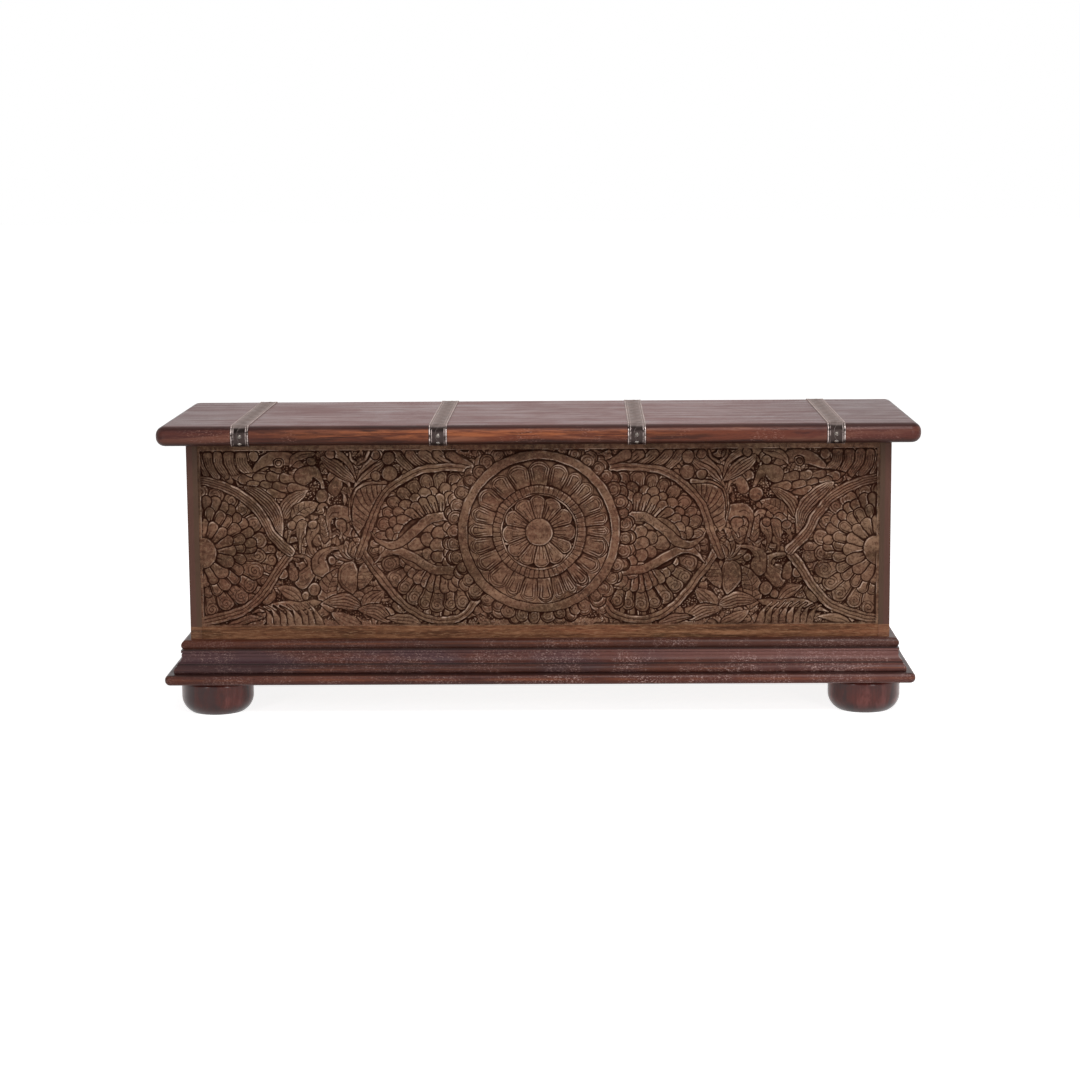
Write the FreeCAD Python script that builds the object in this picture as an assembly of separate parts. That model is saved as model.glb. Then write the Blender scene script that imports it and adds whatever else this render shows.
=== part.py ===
import FreeCAD, Part
import math
import os

# Long wooden chest on four turned feet, with a hinged lid bound by four iron straps.
# Millimetres, +Z up, front towards -Y. The origin is on the floor, under the middle.

# Lid
LID_LENGTH = 1300.0
LID_DEPTH = 440.0
LID_THICKNESS = 34.0
LID_NOSE_RADIUS = 15.0
LID_CORNER_RADIUS = 18.0
LID_OUTER_BOARD_DEPTH = 150.0
LID_OVERHANG = 46.0

# Battens under the lid
BATTEN_WIDTH = 45.0
BATTEN_THICKNESS = 18.0
BATTEN_END_CHAMFER = 8.0
BATTEN_WALL_GAP = 20.0

# Iron straps over the lid
STRAP_WIDTH = 31.0
STRAP_THICKNESS = 1.2
STRAP_RIB_WIDTH = 2.4
STRAP_RIB_HEIGHT = 0.5
STRAP_TAIL = 26.0
STRAP_END_INSET = 144.5

# Strap nails
NAIL_HEAD_RADIUS = 3.4
NAIL_HEAD_HEIGHT = 1.6
NAIL_SHANK_RADIUS = 1.3
NAIL_SHANK_LENGTH = 14.0
NAIL_LOWER_ANGLE = 45.0

# Box walls
WALL_HEIGHT = 397.0
END_THICKNESS = 19.0
FRONT_THICKNESS = 24.0
BACK_THICKNESS = 19.0
FRONT_SETBACK = 1.5
TONGUE_THICKNESS = 8.0
TONGUE_LENGTH = 8.0
GROOVE_CLEARANCE = 0.2

# Carved field of the front wall
FIELD_SIDE_BORDER = 4.0
FIELD_TOP_BORDER = 15.0
FIELD_BOTTOM_BORDER = 21.0
FIELD_DEPTH = 5.0

# Levels of the carving: the highest lies this far under the panel's face, and the others step down.
# Each form is rooted in the ground, and its ends are tucked under the forms that it runs to.
CARVING_SETBACK = 0.4
CARVING_STEP = 0.7
CARVING_ROOT = 1.0
CARVING_GAP = 1.8
CARVING_TUCK = 3.0

# Medallion at the middle of the field
MEDALLION_RISE = 12.0
MEDALLION_BOSS_RADIUS = 24.5
MEDALLION_ROSETTE_RADIUS = 62.0
MEDALLION_COLLAR_INNER_RADIUS = 65.5
MEDALLION_COLLAR_OUTER_RADIUS = 80.0
MEDALLION_PETAL_RADIUS = 121.0
MEDALLION_RIM_INNER_RADIUS = 123.0
MEDALLION_RIM_OUTER_RADIUS = 140.5
MEDALLION_SCALLOP_RADIUS = 162.0
MEDALLION_ROSETTE_COUNT = 11
MEDALLION_PETAL_COUNT = 20
MEDALLION_SCALLOP_COUNT = 41

# Circles on both sides of it
SIDE_CIRCLE_X = 161.0
SIDE_CIRCLE_DROP = 10.5
SIDE_RIM_INNER_RADIUS = 130.0
SIDE_RIM_OUTER_RADIUS = 142.0
SIDE_OUTER_PETAL_RADIUS = 122.0
SIDE_INNER_PETAL_RADIUS = 93.0
SIDE_BAND_WIDTH = 16.5
SIDE_SCALE_PITCH = 22.0
SIDE_OUTER_PETAL_COUNT = 28
SIDE_INNER_PETAL_COUNT = 21
SIDE_SCALE_COLUMNS = 4

# Half rosettes at both ends
END_ROSETTE_DROP = 19.5
END_ROSETTE_BOSS_RADIUS = 26.0
END_ROSETTE_ROW_RADII = (59.0, 85.0, 113.0, 128.0)
END_ROSETTE_ROW_COUNTS = (16, 24, 25, 26)

# Leaves between the circles
FRINGE_COUNT = 4
TOP_LEAF_COUNT = 5
BOTTOM_LEAF_COUNT = 7
FLOWER_LEAF_COUNT = 6
FLOWER_LEAF_PITCH = 25.0

# Floor boards
FLOOR_THICKNESS = 12.0
FLOOR_CLEARANCE = 0.5
FLOOR_SCREW_INNER_Y = 34.0
FLOOR_SCREW_SPIGOT_GAP = 29.0
FLOOR_SCREW_INSET = 26.0

# Base frame
BASE_THICKNESS = 18.0
BASE_OVERHANG = 42.0
BASE_NOSE_RADIUS = 8.0
BASE_CORNER_RADIUS = 10.0
BASE_RAIL_WIDTH = 112.0
CROSS_RAIL_WIDTH = 90.0
TENON_THICKNESS = 6.0
TENON_LENGTH = 25.0
TENON_SHOULDER = 20.0
TENON_SPIGOT_WALL = 5.0
TENON_CLEARANCE = 0.2
WALL_SCREW_X = 250.0
WALL_SCREW_Y = 50.0

# Plinth mouldings, from the top down: bead, ogee, foot bead
BEAD_HEIGHT = 16.7
BEAD_PROJECTION = 15.3
BEAD_QUIRK_ANGLE = 52.0
OGEE_HEIGHT = 24.0
OGEE_FILLET_HEIGHT = 4.5
OGEE_FILLET_PROJECTION = 15.8
OGEE_QUIRK_PROJECTION = 13.6
OGEE_SWELL_PROJECTION = 15.0
OGEE_NECK_PROJECTION = 14.3
OGEE_FOOT_PROJECTION = 21.0
OGEE_FOOT_FILLET = 2.5
FOOT_BEAD_HEIGHT = 16.0
FOOT_BEAD_FILLET = 3.0
FOOT_BEAD_TOP_PROJECTION = 22.4
FOOT_BEAD_TIP_PROJECTION = 27.3
FOOT_BEAD_HEEL_PROJECTION = 26.1

# Turned feet
FOOT_HEIGHT = 58.0
FOOT_RADIUS = 62.5
FOOT_TOP_ROUND = 8.0
FOOT_BELLY_HEIGHT = 28.0
FOOT_BASE_RADIUS = 46.0
FOOT_INSET = 85.0
SPIGOT_RADIUS = 14.0
SPIGOT_CLEARANCE = 0.2

# Hinges
HINGE_LENGTH = 76.0
HINGE_KNUCKLE_RADIUS = 5.0
HINGE_KNUCKLE_COUNT = 5
HINGE_RUNNING_GAP = 0.3
HINGE_LEAF_THICKNESS = 2.5
HINGE_LEAF_WIDTH = 27.0
HINGE_LEAF_CORNER = 3.0
HINGE_PIN_RADIUS = 2.5
HINGE_PIN_CLEARANCE = 0.05
HINGE_PIN_HEAD_RADIUS = 4.2
HINGE_PIN_HEAD_HEIGHT = 1.6
HINGE_SCREW_PITCH = 25.0
HINGE_SCREW_EDGE = 9.0

# Wood screws
SCREW_SHANK_RADIUS = 1.9
SCREW_HEAD_RADIUS = 3.8
SCREW_CLEARANCE = 0.25
HINGE_SCREW_LENGTH = 15.0
FLOOR_SCREW_LENGTH = 25.0
BATTEN_SCREW_LENGTH = 38.0
WALL_SCREW_LENGTH = 45.0

# Shapes of outlines, as shares of the sizes that they follow
OGEE_SWELL_HEIGHT_SHARE = 0.615
OGEE_NECK_HEIGHT_SHARE = 0.485
OGEE_FLARE_HEIGHT_SHARE = 0.26
OGEE_FLARE_REACH_SHARE = 0.34
FOOT_BEAD_TIP_HEIGHT_SHARE = 0.33

# Depth of the valleys between petal tips, as a share of the pitch of the tips
SCALLOP_DEPTH_SHARE = 0.3

# Crossing bands: points on their middle lines, as shares of the side circle's radius
UPPER_BAND_SHARES = (
    (-0.90, 0.16), (-0.69, 0.0), (-0.54, 0.03), (-0.33, 0.21), (-0.10, 0.34), (0.10, 0.35),
)
LOWER_BAND_SHARES = (
    (-0.86, -0.24), (-0.67, -0.08), (-0.54, -0.09), (-0.33, -0.19), (-0.06, -0.31), (0.10, -0.31),
)

# Two crescents round the end rosette that meet in a point, as shares of its outer row's radius:
# the point, the middles and the ends of the outer and the inner arc
UPPER_CRESCENT_SHARES = ((1.14, -0.05), (0.68, 0.82), (-0.10, 1.02), (-0.10, 0.89), (0.55, 0.62))
LOWER_CRESCENT_SHARES = ((1.14, 0.03), (0.80, -0.72), (-0.10, -1.01), (-0.10, -0.89), (0.72, -0.61))

# Berries and leaves. Places run along the field from its end, as shares of its half length,
# and up it, as shares of its height. A berry has a radius, and a leaf has a tip and half a width,
# as shares of the height.
BERRY_SHARES = (
    (0.16, 0.97, 0.031), (0.36, 0.97, 0.032), (0.56, 0.96, 0.036), (0.56, 0.87, 0.043), (0.52, 0.86, 0.031),
    (0.30, 0.85, 0.047), (0.40, 0.77, 0.035), (0.36, 0.74, 0.043), (0.24, 0.29, 0.031), (0.35, 0.32, 0.043),
    (0.33, 0.20, 0.036), (0.19, 0.15, 0.032), (0.42, 0.61, 0.035),
)
LEAF_SHARES = (
    (0.30, 0.87, 0.23, 0.92, 0.046), (0.37, 0.96, 0.45, 0.85, 0.020), (0.54, 0.94, 0.46, 0.78, 0.022),
    (0.44, 0.73, 0.46, 0.86, 0.026), (0.25, 0.78, 0.15, 0.87, 0.022), (0.28, 0.80, 0.19, 0.79, 0.030),
    (0.24, 0.63, 0.30, 0.78, 0.046), (0.26, 0.57, 0.33, 0.70, 0.040), (0.28, 0.42, 0.29, 0.58, 0.038),
    (0.55, 0.80, 0.46, 0.55, 0.068), (0.42, 0.43, 0.33, 0.36, 0.020), (0.31, 0.39, 0.30, 0.25, 0.046),
    (0.38, 0.09, 0.41, 0.33, 0.046), (0.45, 0.38, 0.43, 0.21, 0.044), (0.51, 0.39, 0.45, 0.23, 0.044),
    (0.46, 0.08, 0.36, 0.12, 0.036), (0.48, 0.10, 0.63, 0.04, 0.034), (0.48, 0.07, 0.52, 0.21, 0.042),
    (0.35, 0.15, 0.25, 0.17, 0.028), (0.12, 0.05, 0.31, 0.13, 0.020),
)
FLOWER_SHARES = (0.45, 0.39)
FLOWER_LEAF_REACH_SHARE = 0.10
FLOWER_LEAF_HALF_SHARE = 0.024
FRINGE_SHARES = (0.045, 0.85, 0.010, 0.965, 0.030)
FRINGE_PITCH_SHARE = 0.038
TOP_LEAF_SHARES = (0.63, 0.885, 0.58, 0.975, 0.028)
TOP_LEAF_PITCH_SHARE = 0.041
BOTTOM_LEAF_SHARES = (0.18, 0.10, 0.205, 0.01, 0.022)
BOTTOM_LEAF_PITCH_SHARE = 0.022

QUARTER_TURN = 90.0
HALF_TURN = 180.0
CUT_OVERRUN = 5.0
SAME_PLACE = 0.001

# Levels and faces that several pieces share
BASE_BOTTOM = FOOT_HEIGHT
BASE_TOP = BASE_BOTTOM + BASE_THICKNESS
WALL_TOP = BASE_TOP + WALL_HEIGHT
LID_TOP = WALL_TOP + LID_THICKNESS
LID_HALF_LENGTH = LID_LENGTH / 2
LID_HALF_DEPTH = LID_DEPTH / 2
BOX_HALF_LENGTH = LID_HALF_LENGTH - LID_OVERHANG
BOX_HALF_DEPTH = LID_HALF_DEPTH - LID_OVERHANG
BASE_HALF_LENGTH = BOX_HALF_LENGTH + BASE_OVERHANG
BASE_HALF_DEPTH = BOX_HALF_DEPTH + BASE_OVERHANG
END_INNER_X = BOX_HALF_LENGTH - END_THICKNESS
FRONT_FACE_Y = -BOX_HALF_DEPTH + FRONT_SETBACK
FRONT_INNER_Y = FRONT_FACE_Y + FRONT_THICKNESS
BACK_INNER_Y = BOX_HALF_DEPTH - BACK_THICKNESS
PLINTH_TOP = BASE_TOP + FOOT_BEAD_HEIGHT + OGEE_HEIGHT + BEAD_HEIGHT
FIELD_HALF_LENGTH = END_INNER_X - FIELD_SIDE_BORDER
FIELD_LOW = PLINTH_TOP + FIELD_BOTTOM_BORDER
FIELD_HIGH = WALL_TOP - FIELD_TOP_BORDER
FIELD_HEIGHT = FIELD_HIGH - FIELD_LOW
FIELD_MIDDLE_Z = (FIELD_LOW + FIELD_HIGH) / 2
FIELD_GROUND_Y = FRONT_FACE_Y + FIELD_DEPTH
MEDALLION_PLACE = (0.0, FIELD_MIDDLE_Z + MEDALLION_RISE)
SIDE_CIRCLE_PLACE = (-SIDE_CIRCLE_X, FIELD_MIDDLE_Z - SIDE_CIRCLE_DROP)
END_ROSETTE_PLACE = (-END_INNER_X, FIELD_MIDDLE_Z - END_ROSETTE_DROP)
FOOT_X = LID_HALF_LENGTH - FOOT_INSET
FOOT_Y = LID_HALF_DEPTH - FOOT_INSET
PIN_OFFSET = HINGE_KNUCKLE_RADIUS + HINGE_RUNNING_GAP
PIN_Y = BOX_HALF_DEPTH + PIN_OFFSET
PIN_Z = WALL_TOP - PIN_OFFSET


# Four straps at equal pitch, with a hinge behind the middle of each bay between them
STRAP_OUTER_X = LID_HALF_LENGTH - STRAP_END_INSET
BAY_LENGTH = 2 * STRAP_OUTER_X / 3
STRAP_PLACES = {
    "left_outer": -STRAP_OUTER_X,
    "left_inner": -BAY_LENGTH / 2,
    "right_inner": BAY_LENGTH / 2,
    "right_outer": STRAP_OUTER_X,
}
HINGE_PLACES = {"left": -BAY_LENGTH, "middle": 0.0, "right": BAY_LENGTH}
BATTEN_PLACES = {"left": -BAY_LENGTH, "right": BAY_LENGTH}
BATTEN_FRONT_Y = FRONT_INNER_Y + BATTEN_WALL_GAP
BATTEN_REAR_Y = BACK_INNER_Y - BATTEN_WALL_GAP
BOARD_JOINT_Y = LID_HALF_DEPTH - LID_OUTER_BOARD_DEPTH
SIDE_TURNS = {"front": 0.0, "right": QUARTER_TURN, "back": HALF_TURN, "left": -QUARTER_TURN}

V = FreeCAD.Vector
X_AXIS = V(1, 0, 0)
Y_AXIS = V(0, 1, 0)
Z_AXIS = V(0, 0, 1)


def block(x0, x1, y0, y1, z0, z1):
    return Part.makeBox(x1 - x0, y1 - y0, z1 - z0, V(x0, y0, z0))


def polar(radius, degrees):
    angle = math.radians(degrees)
    return radius * math.cos(angle), radius * math.sin(angle)


def fuse_all(shapes):
    whole = shapes[0]
    for shape in shapes[1:]:
        whole = whole.fuse(shape)
    return whole.removeSplitter()


def cut_all(shape, tools):
    for tool in tools:
        shape = shape.cut(tool)
    return shape


def outline_face(steps):
    """Face in the YZ plane. Each step is an end point, or a through point and an end point."""
    edges = []
    here = V(0, *steps[0])
    for step in steps[1:] + [steps[0]]:
        if len(step) == 2:
            there = V(0, *step)
            if here.distanceToPoint(there) > SAME_PLACE:
                edges.append(Part.makeLine(here, there))
        else:
            there = V(0, *step[2:])
            edges.append(Part.Arc(here, V(0, *step[:2]), there).toShape())
        here = there
    return Part.Face(Part.Wire(edges))


def rounded_slab(half_length, half_depth, z0, z1, corner_radius, nose_radius):
    """Board blank with rounded corners in plan and a rounded nose on all four edges."""
    slab = block(-half_length, half_length, -half_depth, half_depth, z0, z1)
    uprights = [e for e in slab.Edges if e.BoundBox.ZLength > SAME_PLACE]
    slab = slab.makeFillet(corner_radius, uprights)
    rims = [e for e in slab.Edges if e.BoundBox.ZLength < SAME_PLACE]
    return slab.makeFillet(nose_radius, rims)


def turned(outline, place, direction):
    """Solid turned from a half section (radius, height), stood on place along direction."""
    solid = outline_face(outline).revolve(V(0, 0, 0), Z_AXIS, 2 * HALF_TURN)
    solid.Placement = FreeCAD.Placement(place, FreeCAD.Rotation(Z_AXIS, direction))
    return solid


def countersunk(head, direction, shank_radius, length):
    """Flat head on head, tapering to a shank that runs along direction."""
    taper = SCREW_HEAD_RADIUS - shank_radius
    outline = [
        (0, 0),
        (SCREW_HEAD_RADIUS, 0),
        (shank_radius, taper),
        (shank_radius, length),
        (0, length),
    ]
    return turned(outline, head, direction)


def screw(head, direction, length):
    return countersunk(head, direction, SCREW_SHANK_RADIUS, length)


def screw_hole(head, direction, length):
    """Hole for the screw, a clearance wider at the shank and deeper at the tip."""
    radius = SCREW_SHANK_RADIUS + SCREW_CLEARANCE
    return countersunk(head, direction, radius, length + SCREW_CLEARANCE)


def nail(seat, outward):
    """Round-headed nail whose head stands on seat and whose shank runs inward."""
    bulge = (NAIL_HEAD_RADIUS ** 2 + NAIL_HEAD_HEIGHT ** 2) / (2 * NAIL_HEAD_HEIGHT)
    sweep = math.degrees(math.asin(NAIL_HEAD_RADIUS / bulge))
    up, out = polar(bulge, sweep / 2)
    outline = [
        (0, -NAIL_SHANK_LENGTH),
        (NAIL_SHANK_RADIUS, -NAIL_SHANK_LENGTH),
        (NAIL_SHANK_RADIUS, 0),
        (NAIL_HEAD_RADIUS, 0),
        (out, NAIL_HEAD_HEIGHT - bulge + up, 0, NAIL_HEAD_HEIGHT),
    ]
    return turned(outline, seat, outward)


def nail_hole(seat, outward):
    radius = NAIL_SHANK_RADIUS + SCREW_CLEARANCE
    depth = NAIL_SHANK_LENGTH + SCREW_CLEARANCE + CUT_OVERRUN
    return Part.makeCylinder(radius, depth, seat + outward * CUT_OVERRUN, outward * -1)


def nail_seats():
    """Seat and outward direction of each strap nail: on the nose, and low on its curve."""
    middle_z = (WALL_TOP + LID_TOP) / 2
    curve_y = LID_HALF_DEPTH - LID_NOSE_RADIUS
    curve_z = WALL_TOP + LID_NOSE_RADIUS
    reach, drop = polar(LID_NOSE_RADIUS + STRAP_THICKNESS, NAIL_LOWER_ANGLE)
    seats = []
    for x in STRAP_PLACES.values():
        for side in (-1, 1):
            nose = V(x, side * (LID_HALF_DEPTH + STRAP_THICKNESS), middle_z)
            seats.append((nose, Y_AXIS * side))
            low = V(x, side * (curve_y + reach), curve_z - drop)
            seats.append((low, V(0, side * reach, -drop).normalize()))
    return seats


def batten_screw_heads():
    """One screw of each batten into each board of the lid."""
    heads = []
    for x in BATTEN_PLACES.values():
        for y in ((BATTEN_FRONT_Y - BOARD_JOINT_Y) / 2, 0, (BOARD_JOINT_Y + BATTEN_REAR_Y) / 2):
            heads.append(V(x, y, WALL_TOP - BATTEN_THICKNESS))
    return heads


def floor_screw_heads():
    """Heads in the floor boards, over the rails and clear of the feet's spigots."""
    heads = []
    outer_y = FOOT_Y - SPIGOT_RADIUS - FLOOR_SCREW_SPIGOT_GAP
    for x in (-END_INNER_X + FLOOR_SCREW_INSET, 0, END_INNER_X - FLOOR_SCREW_INSET):
        for y in (FLOOR_SCREW_INNER_Y, outer_y):
            heads.append(V(x, -y, BASE_TOP + FLOOR_THICKNESS))
            heads.append(V(x, y, BASE_TOP + FLOOR_THICKNESS))
    return heads


def wall_screw_heads():
    """Heads under the base frame of the screws that hold the walls down on it."""
    heads = []
    for x in (-WALL_SCREW_X, WALL_SCREW_X):
        heads.append(V(x, (FRONT_FACE_Y + FRONT_INNER_Y) / 2, BASE_BOTTOM))
        heads.append(V(x, (BACK_INNER_Y + BOX_HALF_DEPTH) / 2, BASE_BOTTOM))
    for y in (-WALL_SCREW_Y, WALL_SCREW_Y):
        heads.append(V(-(END_INNER_X + BOX_HALF_LENGTH) / 2, y, BASE_BOTTOM))
        heads.append(V((END_INNER_X + BOX_HALF_LENGTH) / 2, y, BASE_BOTTOM))
    return heads


def hinge_screw_heads(x):
    """Screw heads of one hinge: those in its box leaf, then those in its lid leaf."""
    across = HINGE_LEAF_WIDTH - HINGE_SCREW_EDGE
    box_heads = []
    lid_heads = []
    for step in (-1, 0, 1):
        along = x + step * HINGE_SCREW_PITCH
        box_heads.append(V(along, BOX_HALF_DEPTH + HINGE_LEAF_THICKNESS, PIN_Z - across))
        lid_heads.append(V(along, PIN_Y + across, WALL_TOP - HINGE_LEAF_THICKNESS))
    return box_heads, lid_heads


def holes_for(heads, direction, length):
    return [screw_hole(head, direction, length) for head in heads]


def lid_boards():
    blank = rounded_slab(
        LID_HALF_LENGTH, LID_HALF_DEPTH, WALL_TOP, LID_TOP, LID_CORNER_RADIUS, LID_NOSE_RADIUS)
    holes = [nail_hole(seat, outward) for seat, outward in nail_seats()]
    holes += holes_for(batten_screw_heads(), Z_AXIS, BATTEN_SCREW_LENGTH)
    for x in HINGE_PLACES.values():
        holes += holes_for(hinge_screw_heads(x)[1], Z_AXIS, HINGE_SCREW_LENGTH)
    blank = cut_all(blank, holes)
    spans = {
        "lid_board_front": (-LID_HALF_DEPTH, -BOARD_JOINT_Y),
        "lid_board_middle": (-BOARD_JOINT_Y, BOARD_JOINT_Y),
        "lid_board_rear": (BOARD_JOINT_Y, LID_HALF_DEPTH),
    }
    boards = {}
    for name, (y0, y1) in spans.items():
        cutter = block(-LID_HALF_LENGTH, LID_HALF_LENGTH, y0, y1, WALL_TOP, LID_TOP)
        boards[name] = blank.common(cutter)
    return boards


def lid_battens():
    battens = {}
    holes = holes_for(batten_screw_heads(), Z_AXIS, BATTEN_SCREW_LENGTH)
    z0 = WALL_TOP - BATTEN_THICKNESS
    half = BATTEN_WIDTH / 2
    for side, x in BATTEN_PLACES.items():
        batten = block(x - half, x + half, BATTEN_FRONT_Y, BATTEN_REAR_Y, z0, WALL_TOP)
        ends = [e for e in batten.Edges
                if e.BoundBox.XLength > SAME_PLACE and abs(e.BoundBox.ZMin - z0) < SAME_PLACE]
        batten = batten.makeChamfer(BATTEN_END_CHAMFER, ends)
        battens["lid_batten_" + side] = cut_all(batten, holes)
    return battens


def strap_band(x0, x1, thickness):
    """Band round the lid from one tail to the other, open along most of the underside."""
    reach = LID_HALF_DEPTH + thickness
    outer = block(x0, x1, -reach, reach, WALL_TOP - thickness, LID_TOP + thickness)
    inner = block(x0, x1, -LID_HALF_DEPTH, LID_HALF_DEPTH, WALL_TOP, LID_TOP)
    outer = outer.makeFillet(LID_NOSE_RADIUS + thickness, edges_along_x(outer))
    inner = inner.makeFillet(LID_NOSE_RADIUS, edges_along_x(inner))
    tail_y = LID_HALF_DEPTH - STRAP_TAIL
    gap = block(x0, x1, -tail_y, tail_y, WALL_TOP - thickness, WALL_TOP)
    return outer.cut(inner).cut(gap)


def edges_along_x(shape):
    return [e for e in shape.Edges if e.BoundBox.XLength > SAME_PLACE]


def straps():
    made = {}
    half = STRAP_WIDTH / 2
    holes = [nail_hole(seat, outward) for seat, outward in nail_seats()]
    raised = STRAP_THICKNESS + STRAP_RIB_HEIGHT
    for name, x in STRAP_PLACES.items():
        strap = fuse_all([
            strap_band(x - half, x + half, STRAP_THICKNESS),
            strap_band(x - half, x - half + STRAP_RIB_WIDTH, raised),
            strap_band(x + half - STRAP_RIB_WIDTH, x + half, raised),
        ])
        made["strap_" + name] = cut_all(strap, holes)
    return made


def end_board():
    """Right end wall, with a full-height groove near each edge for the long walls."""
    board = block(
        END_INNER_X, BOX_HALF_LENGTH, -BOX_HALF_DEPTH, BOX_HALF_DEPTH, BASE_TOP, WALL_TOP)
    depth = TONGUE_LENGTH + GROOVE_CLEARANCE
    half = TONGUE_THICKNESS / 2 + GROOVE_CLEARANCE
    middles = ((FRONT_FACE_Y + FRONT_INNER_Y) / 2, (BACK_INNER_Y + BOX_HALF_DEPTH) / 2)
    grooves = [
        block(END_INNER_X, END_INNER_X + depth, y - half, y + half, BASE_TOP, WALL_TOP)
        for y in middles]
    return cut_all(board, grooves)


def long_wall(y0, y1):
    """Front or back wall, with a tongue on each end."""
    middle = (y0 + y1) / 2
    half = TONGUE_THICKNESS / 2
    reach = END_INNER_X + TONGUE_LENGTH
    wall = block(-END_INNER_X, END_INNER_X, y0, y1, BASE_TOP, WALL_TOP)
    tongue = block(-reach, reach, middle - half, middle + half, BASE_TOP, WALL_TOP)
    return fuse_all([wall, tongue])


def raised(edges, level):
    """Flat-topped form of the carving, rooted in the field's ground, its top at one of the levels."""
    top = FRONT_FACE_Y + CARVING_SETBACK + level * CARVING_STEP
    root = FIELD_GROUND_Y + CARVING_ROOT
    face = Part.Face(Part.Wire(edges))
    face.translate(Y_AXIS * root)
    return face.extrude(Y_AXIS * (top - root))


def on_panel(place):
    return V(place[0], 0, place[1])


def raised_disc(place, radius, level):
    return raised([Part.makeCircle(radius, on_panel(place), Y_AXIS)], level)


def raised_ring(place, inner, outer, level):
    return raised_disc(place, outer, level).cut(raised_disc(place, inner, level))


def petal_ring(place, base, outer, count, level):
    """Round-ended petals side by side round a place, from under a disc to an outer radius."""
    spread = math.pi / count
    base -= CARVING_TUCK
    tip = (outer * spread - CARVING_GAP / 2) / (1 + spread)
    root = base * spread - CARVING_GAP / 2
    corners = [(base, -root), (outer - tip, -tip), (outer, 0.0), (outer - tip, tip), (base, root)]
    petals = []
    for number in range(count):
        turn = 2 * spread * number
        a, b, c, d, e = [
            V(place[0] + along * math.cos(turn) - across * math.sin(turn), 0,
              place[1] + along * math.sin(turn) + across * math.cos(turn))
            for along, across in corners]
        edges = [Part.makeLine(a, b), Part.Arc(b, c, d).toShape(), Part.makeLine(d, e), Part.makeLine(e, a)]
        petals.append(raised(edges, level))
    return petals


def leaf(base, tip, half, level):
    """Pointed leaf between two places, bounded by two arcs."""
    a, b = on_panel(base), on_panel(tip)
    middle = (a + b) / 2
    aside = (b - a).cross(Y_AXIS).normalize() * half
    return raised([Part.Arc(a, middle + aside, b).toShape(), Part.Arc(b, middle - aside, a).toShape()], level)


def band(points, width, level):
    """Strip of even width along a smooth line through the points."""
    line = Part.BSplineCurve()
    line.interpolate([on_panel(point) for point in points])
    sides = []
    for reach in (width / 2, -width / 2):
        side = []
        for point in points:
            here = on_panel(point)
            along = V(*line.tangent(line.parameter(here))[0])
            side.append(here + along.cross(Y_AXIS) * reach)
        sides.append(side)
    edges = []
    for side in sides:
        curve = Part.BSplineCurve()
        curve.interpolate(side)
        edges.append(curve.toShape())
    edges.append(Part.makeLine(sides[0][0], sides[1][0]))
    edges.append(Part.makeLine(sides[0][-1], sides[1][-1]))
    return raised(Part.__sortEdges__(edges), level)


def from_shares(place, radius, shares):
    return [(place[0] + radius * across, place[1] + radius * up) for across, up in shares]


def scalloped_disc(place, radius, count, level):
    """Row of overlapping petals as one disc, with a rounded tip for each petal."""
    half_pitch = math.pi / count
    valley = radius * (1 - 2 * half_pitch * SCALLOP_DEPTH_SHARE)
    edges = []
    for number in range(count):
        turn = 2 * half_pitch * number
        a, b, c = [
            V(place[0] + reach * math.cos(angle), 0, place[1] + reach * math.sin(angle))
            for reach, angle in ((valley, turn - half_pitch), (radius, turn), (valley, turn + half_pitch))]
        edges.append(Part.Arc(a, b, c).toShape())
    return raised(edges, level)


def medallion():
    place = MEDALLION_PLACE
    rim_bed = raised_disc(place, MEDALLION_RIM_OUTER_RADIUS - CARVING_TUCK, 0)
    forms = [scalloped_disc(place, MEDALLION_SCALLOP_RADIUS, MEDALLION_SCALLOP_COUNT, 1).cut(rim_bed)]
    forms += petal_ring(
        place, MEDALLION_COLLAR_OUTER_RADIUS, MEDALLION_PETAL_RADIUS, MEDALLION_PETAL_COUNT, 1)
    forms += petal_ring(
        place, MEDALLION_BOSS_RADIUS, MEDALLION_ROSETTE_RADIUS, MEDALLION_ROSETTE_COUNT, 1)
    forms.append(raised_ring(place, MEDALLION_RIM_INNER_RADIUS, MEDALLION_RIM_OUTER_RADIUS, 0))
    forms.append(raised_ring(place, MEDALLION_COLLAR_INNER_RADIUS, MEDALLION_COLLAR_OUTER_RADIUS, 0))
    forms.append(raised_disc(place, MEDALLION_BOSS_RADIUS, 0))
    return forms


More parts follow.
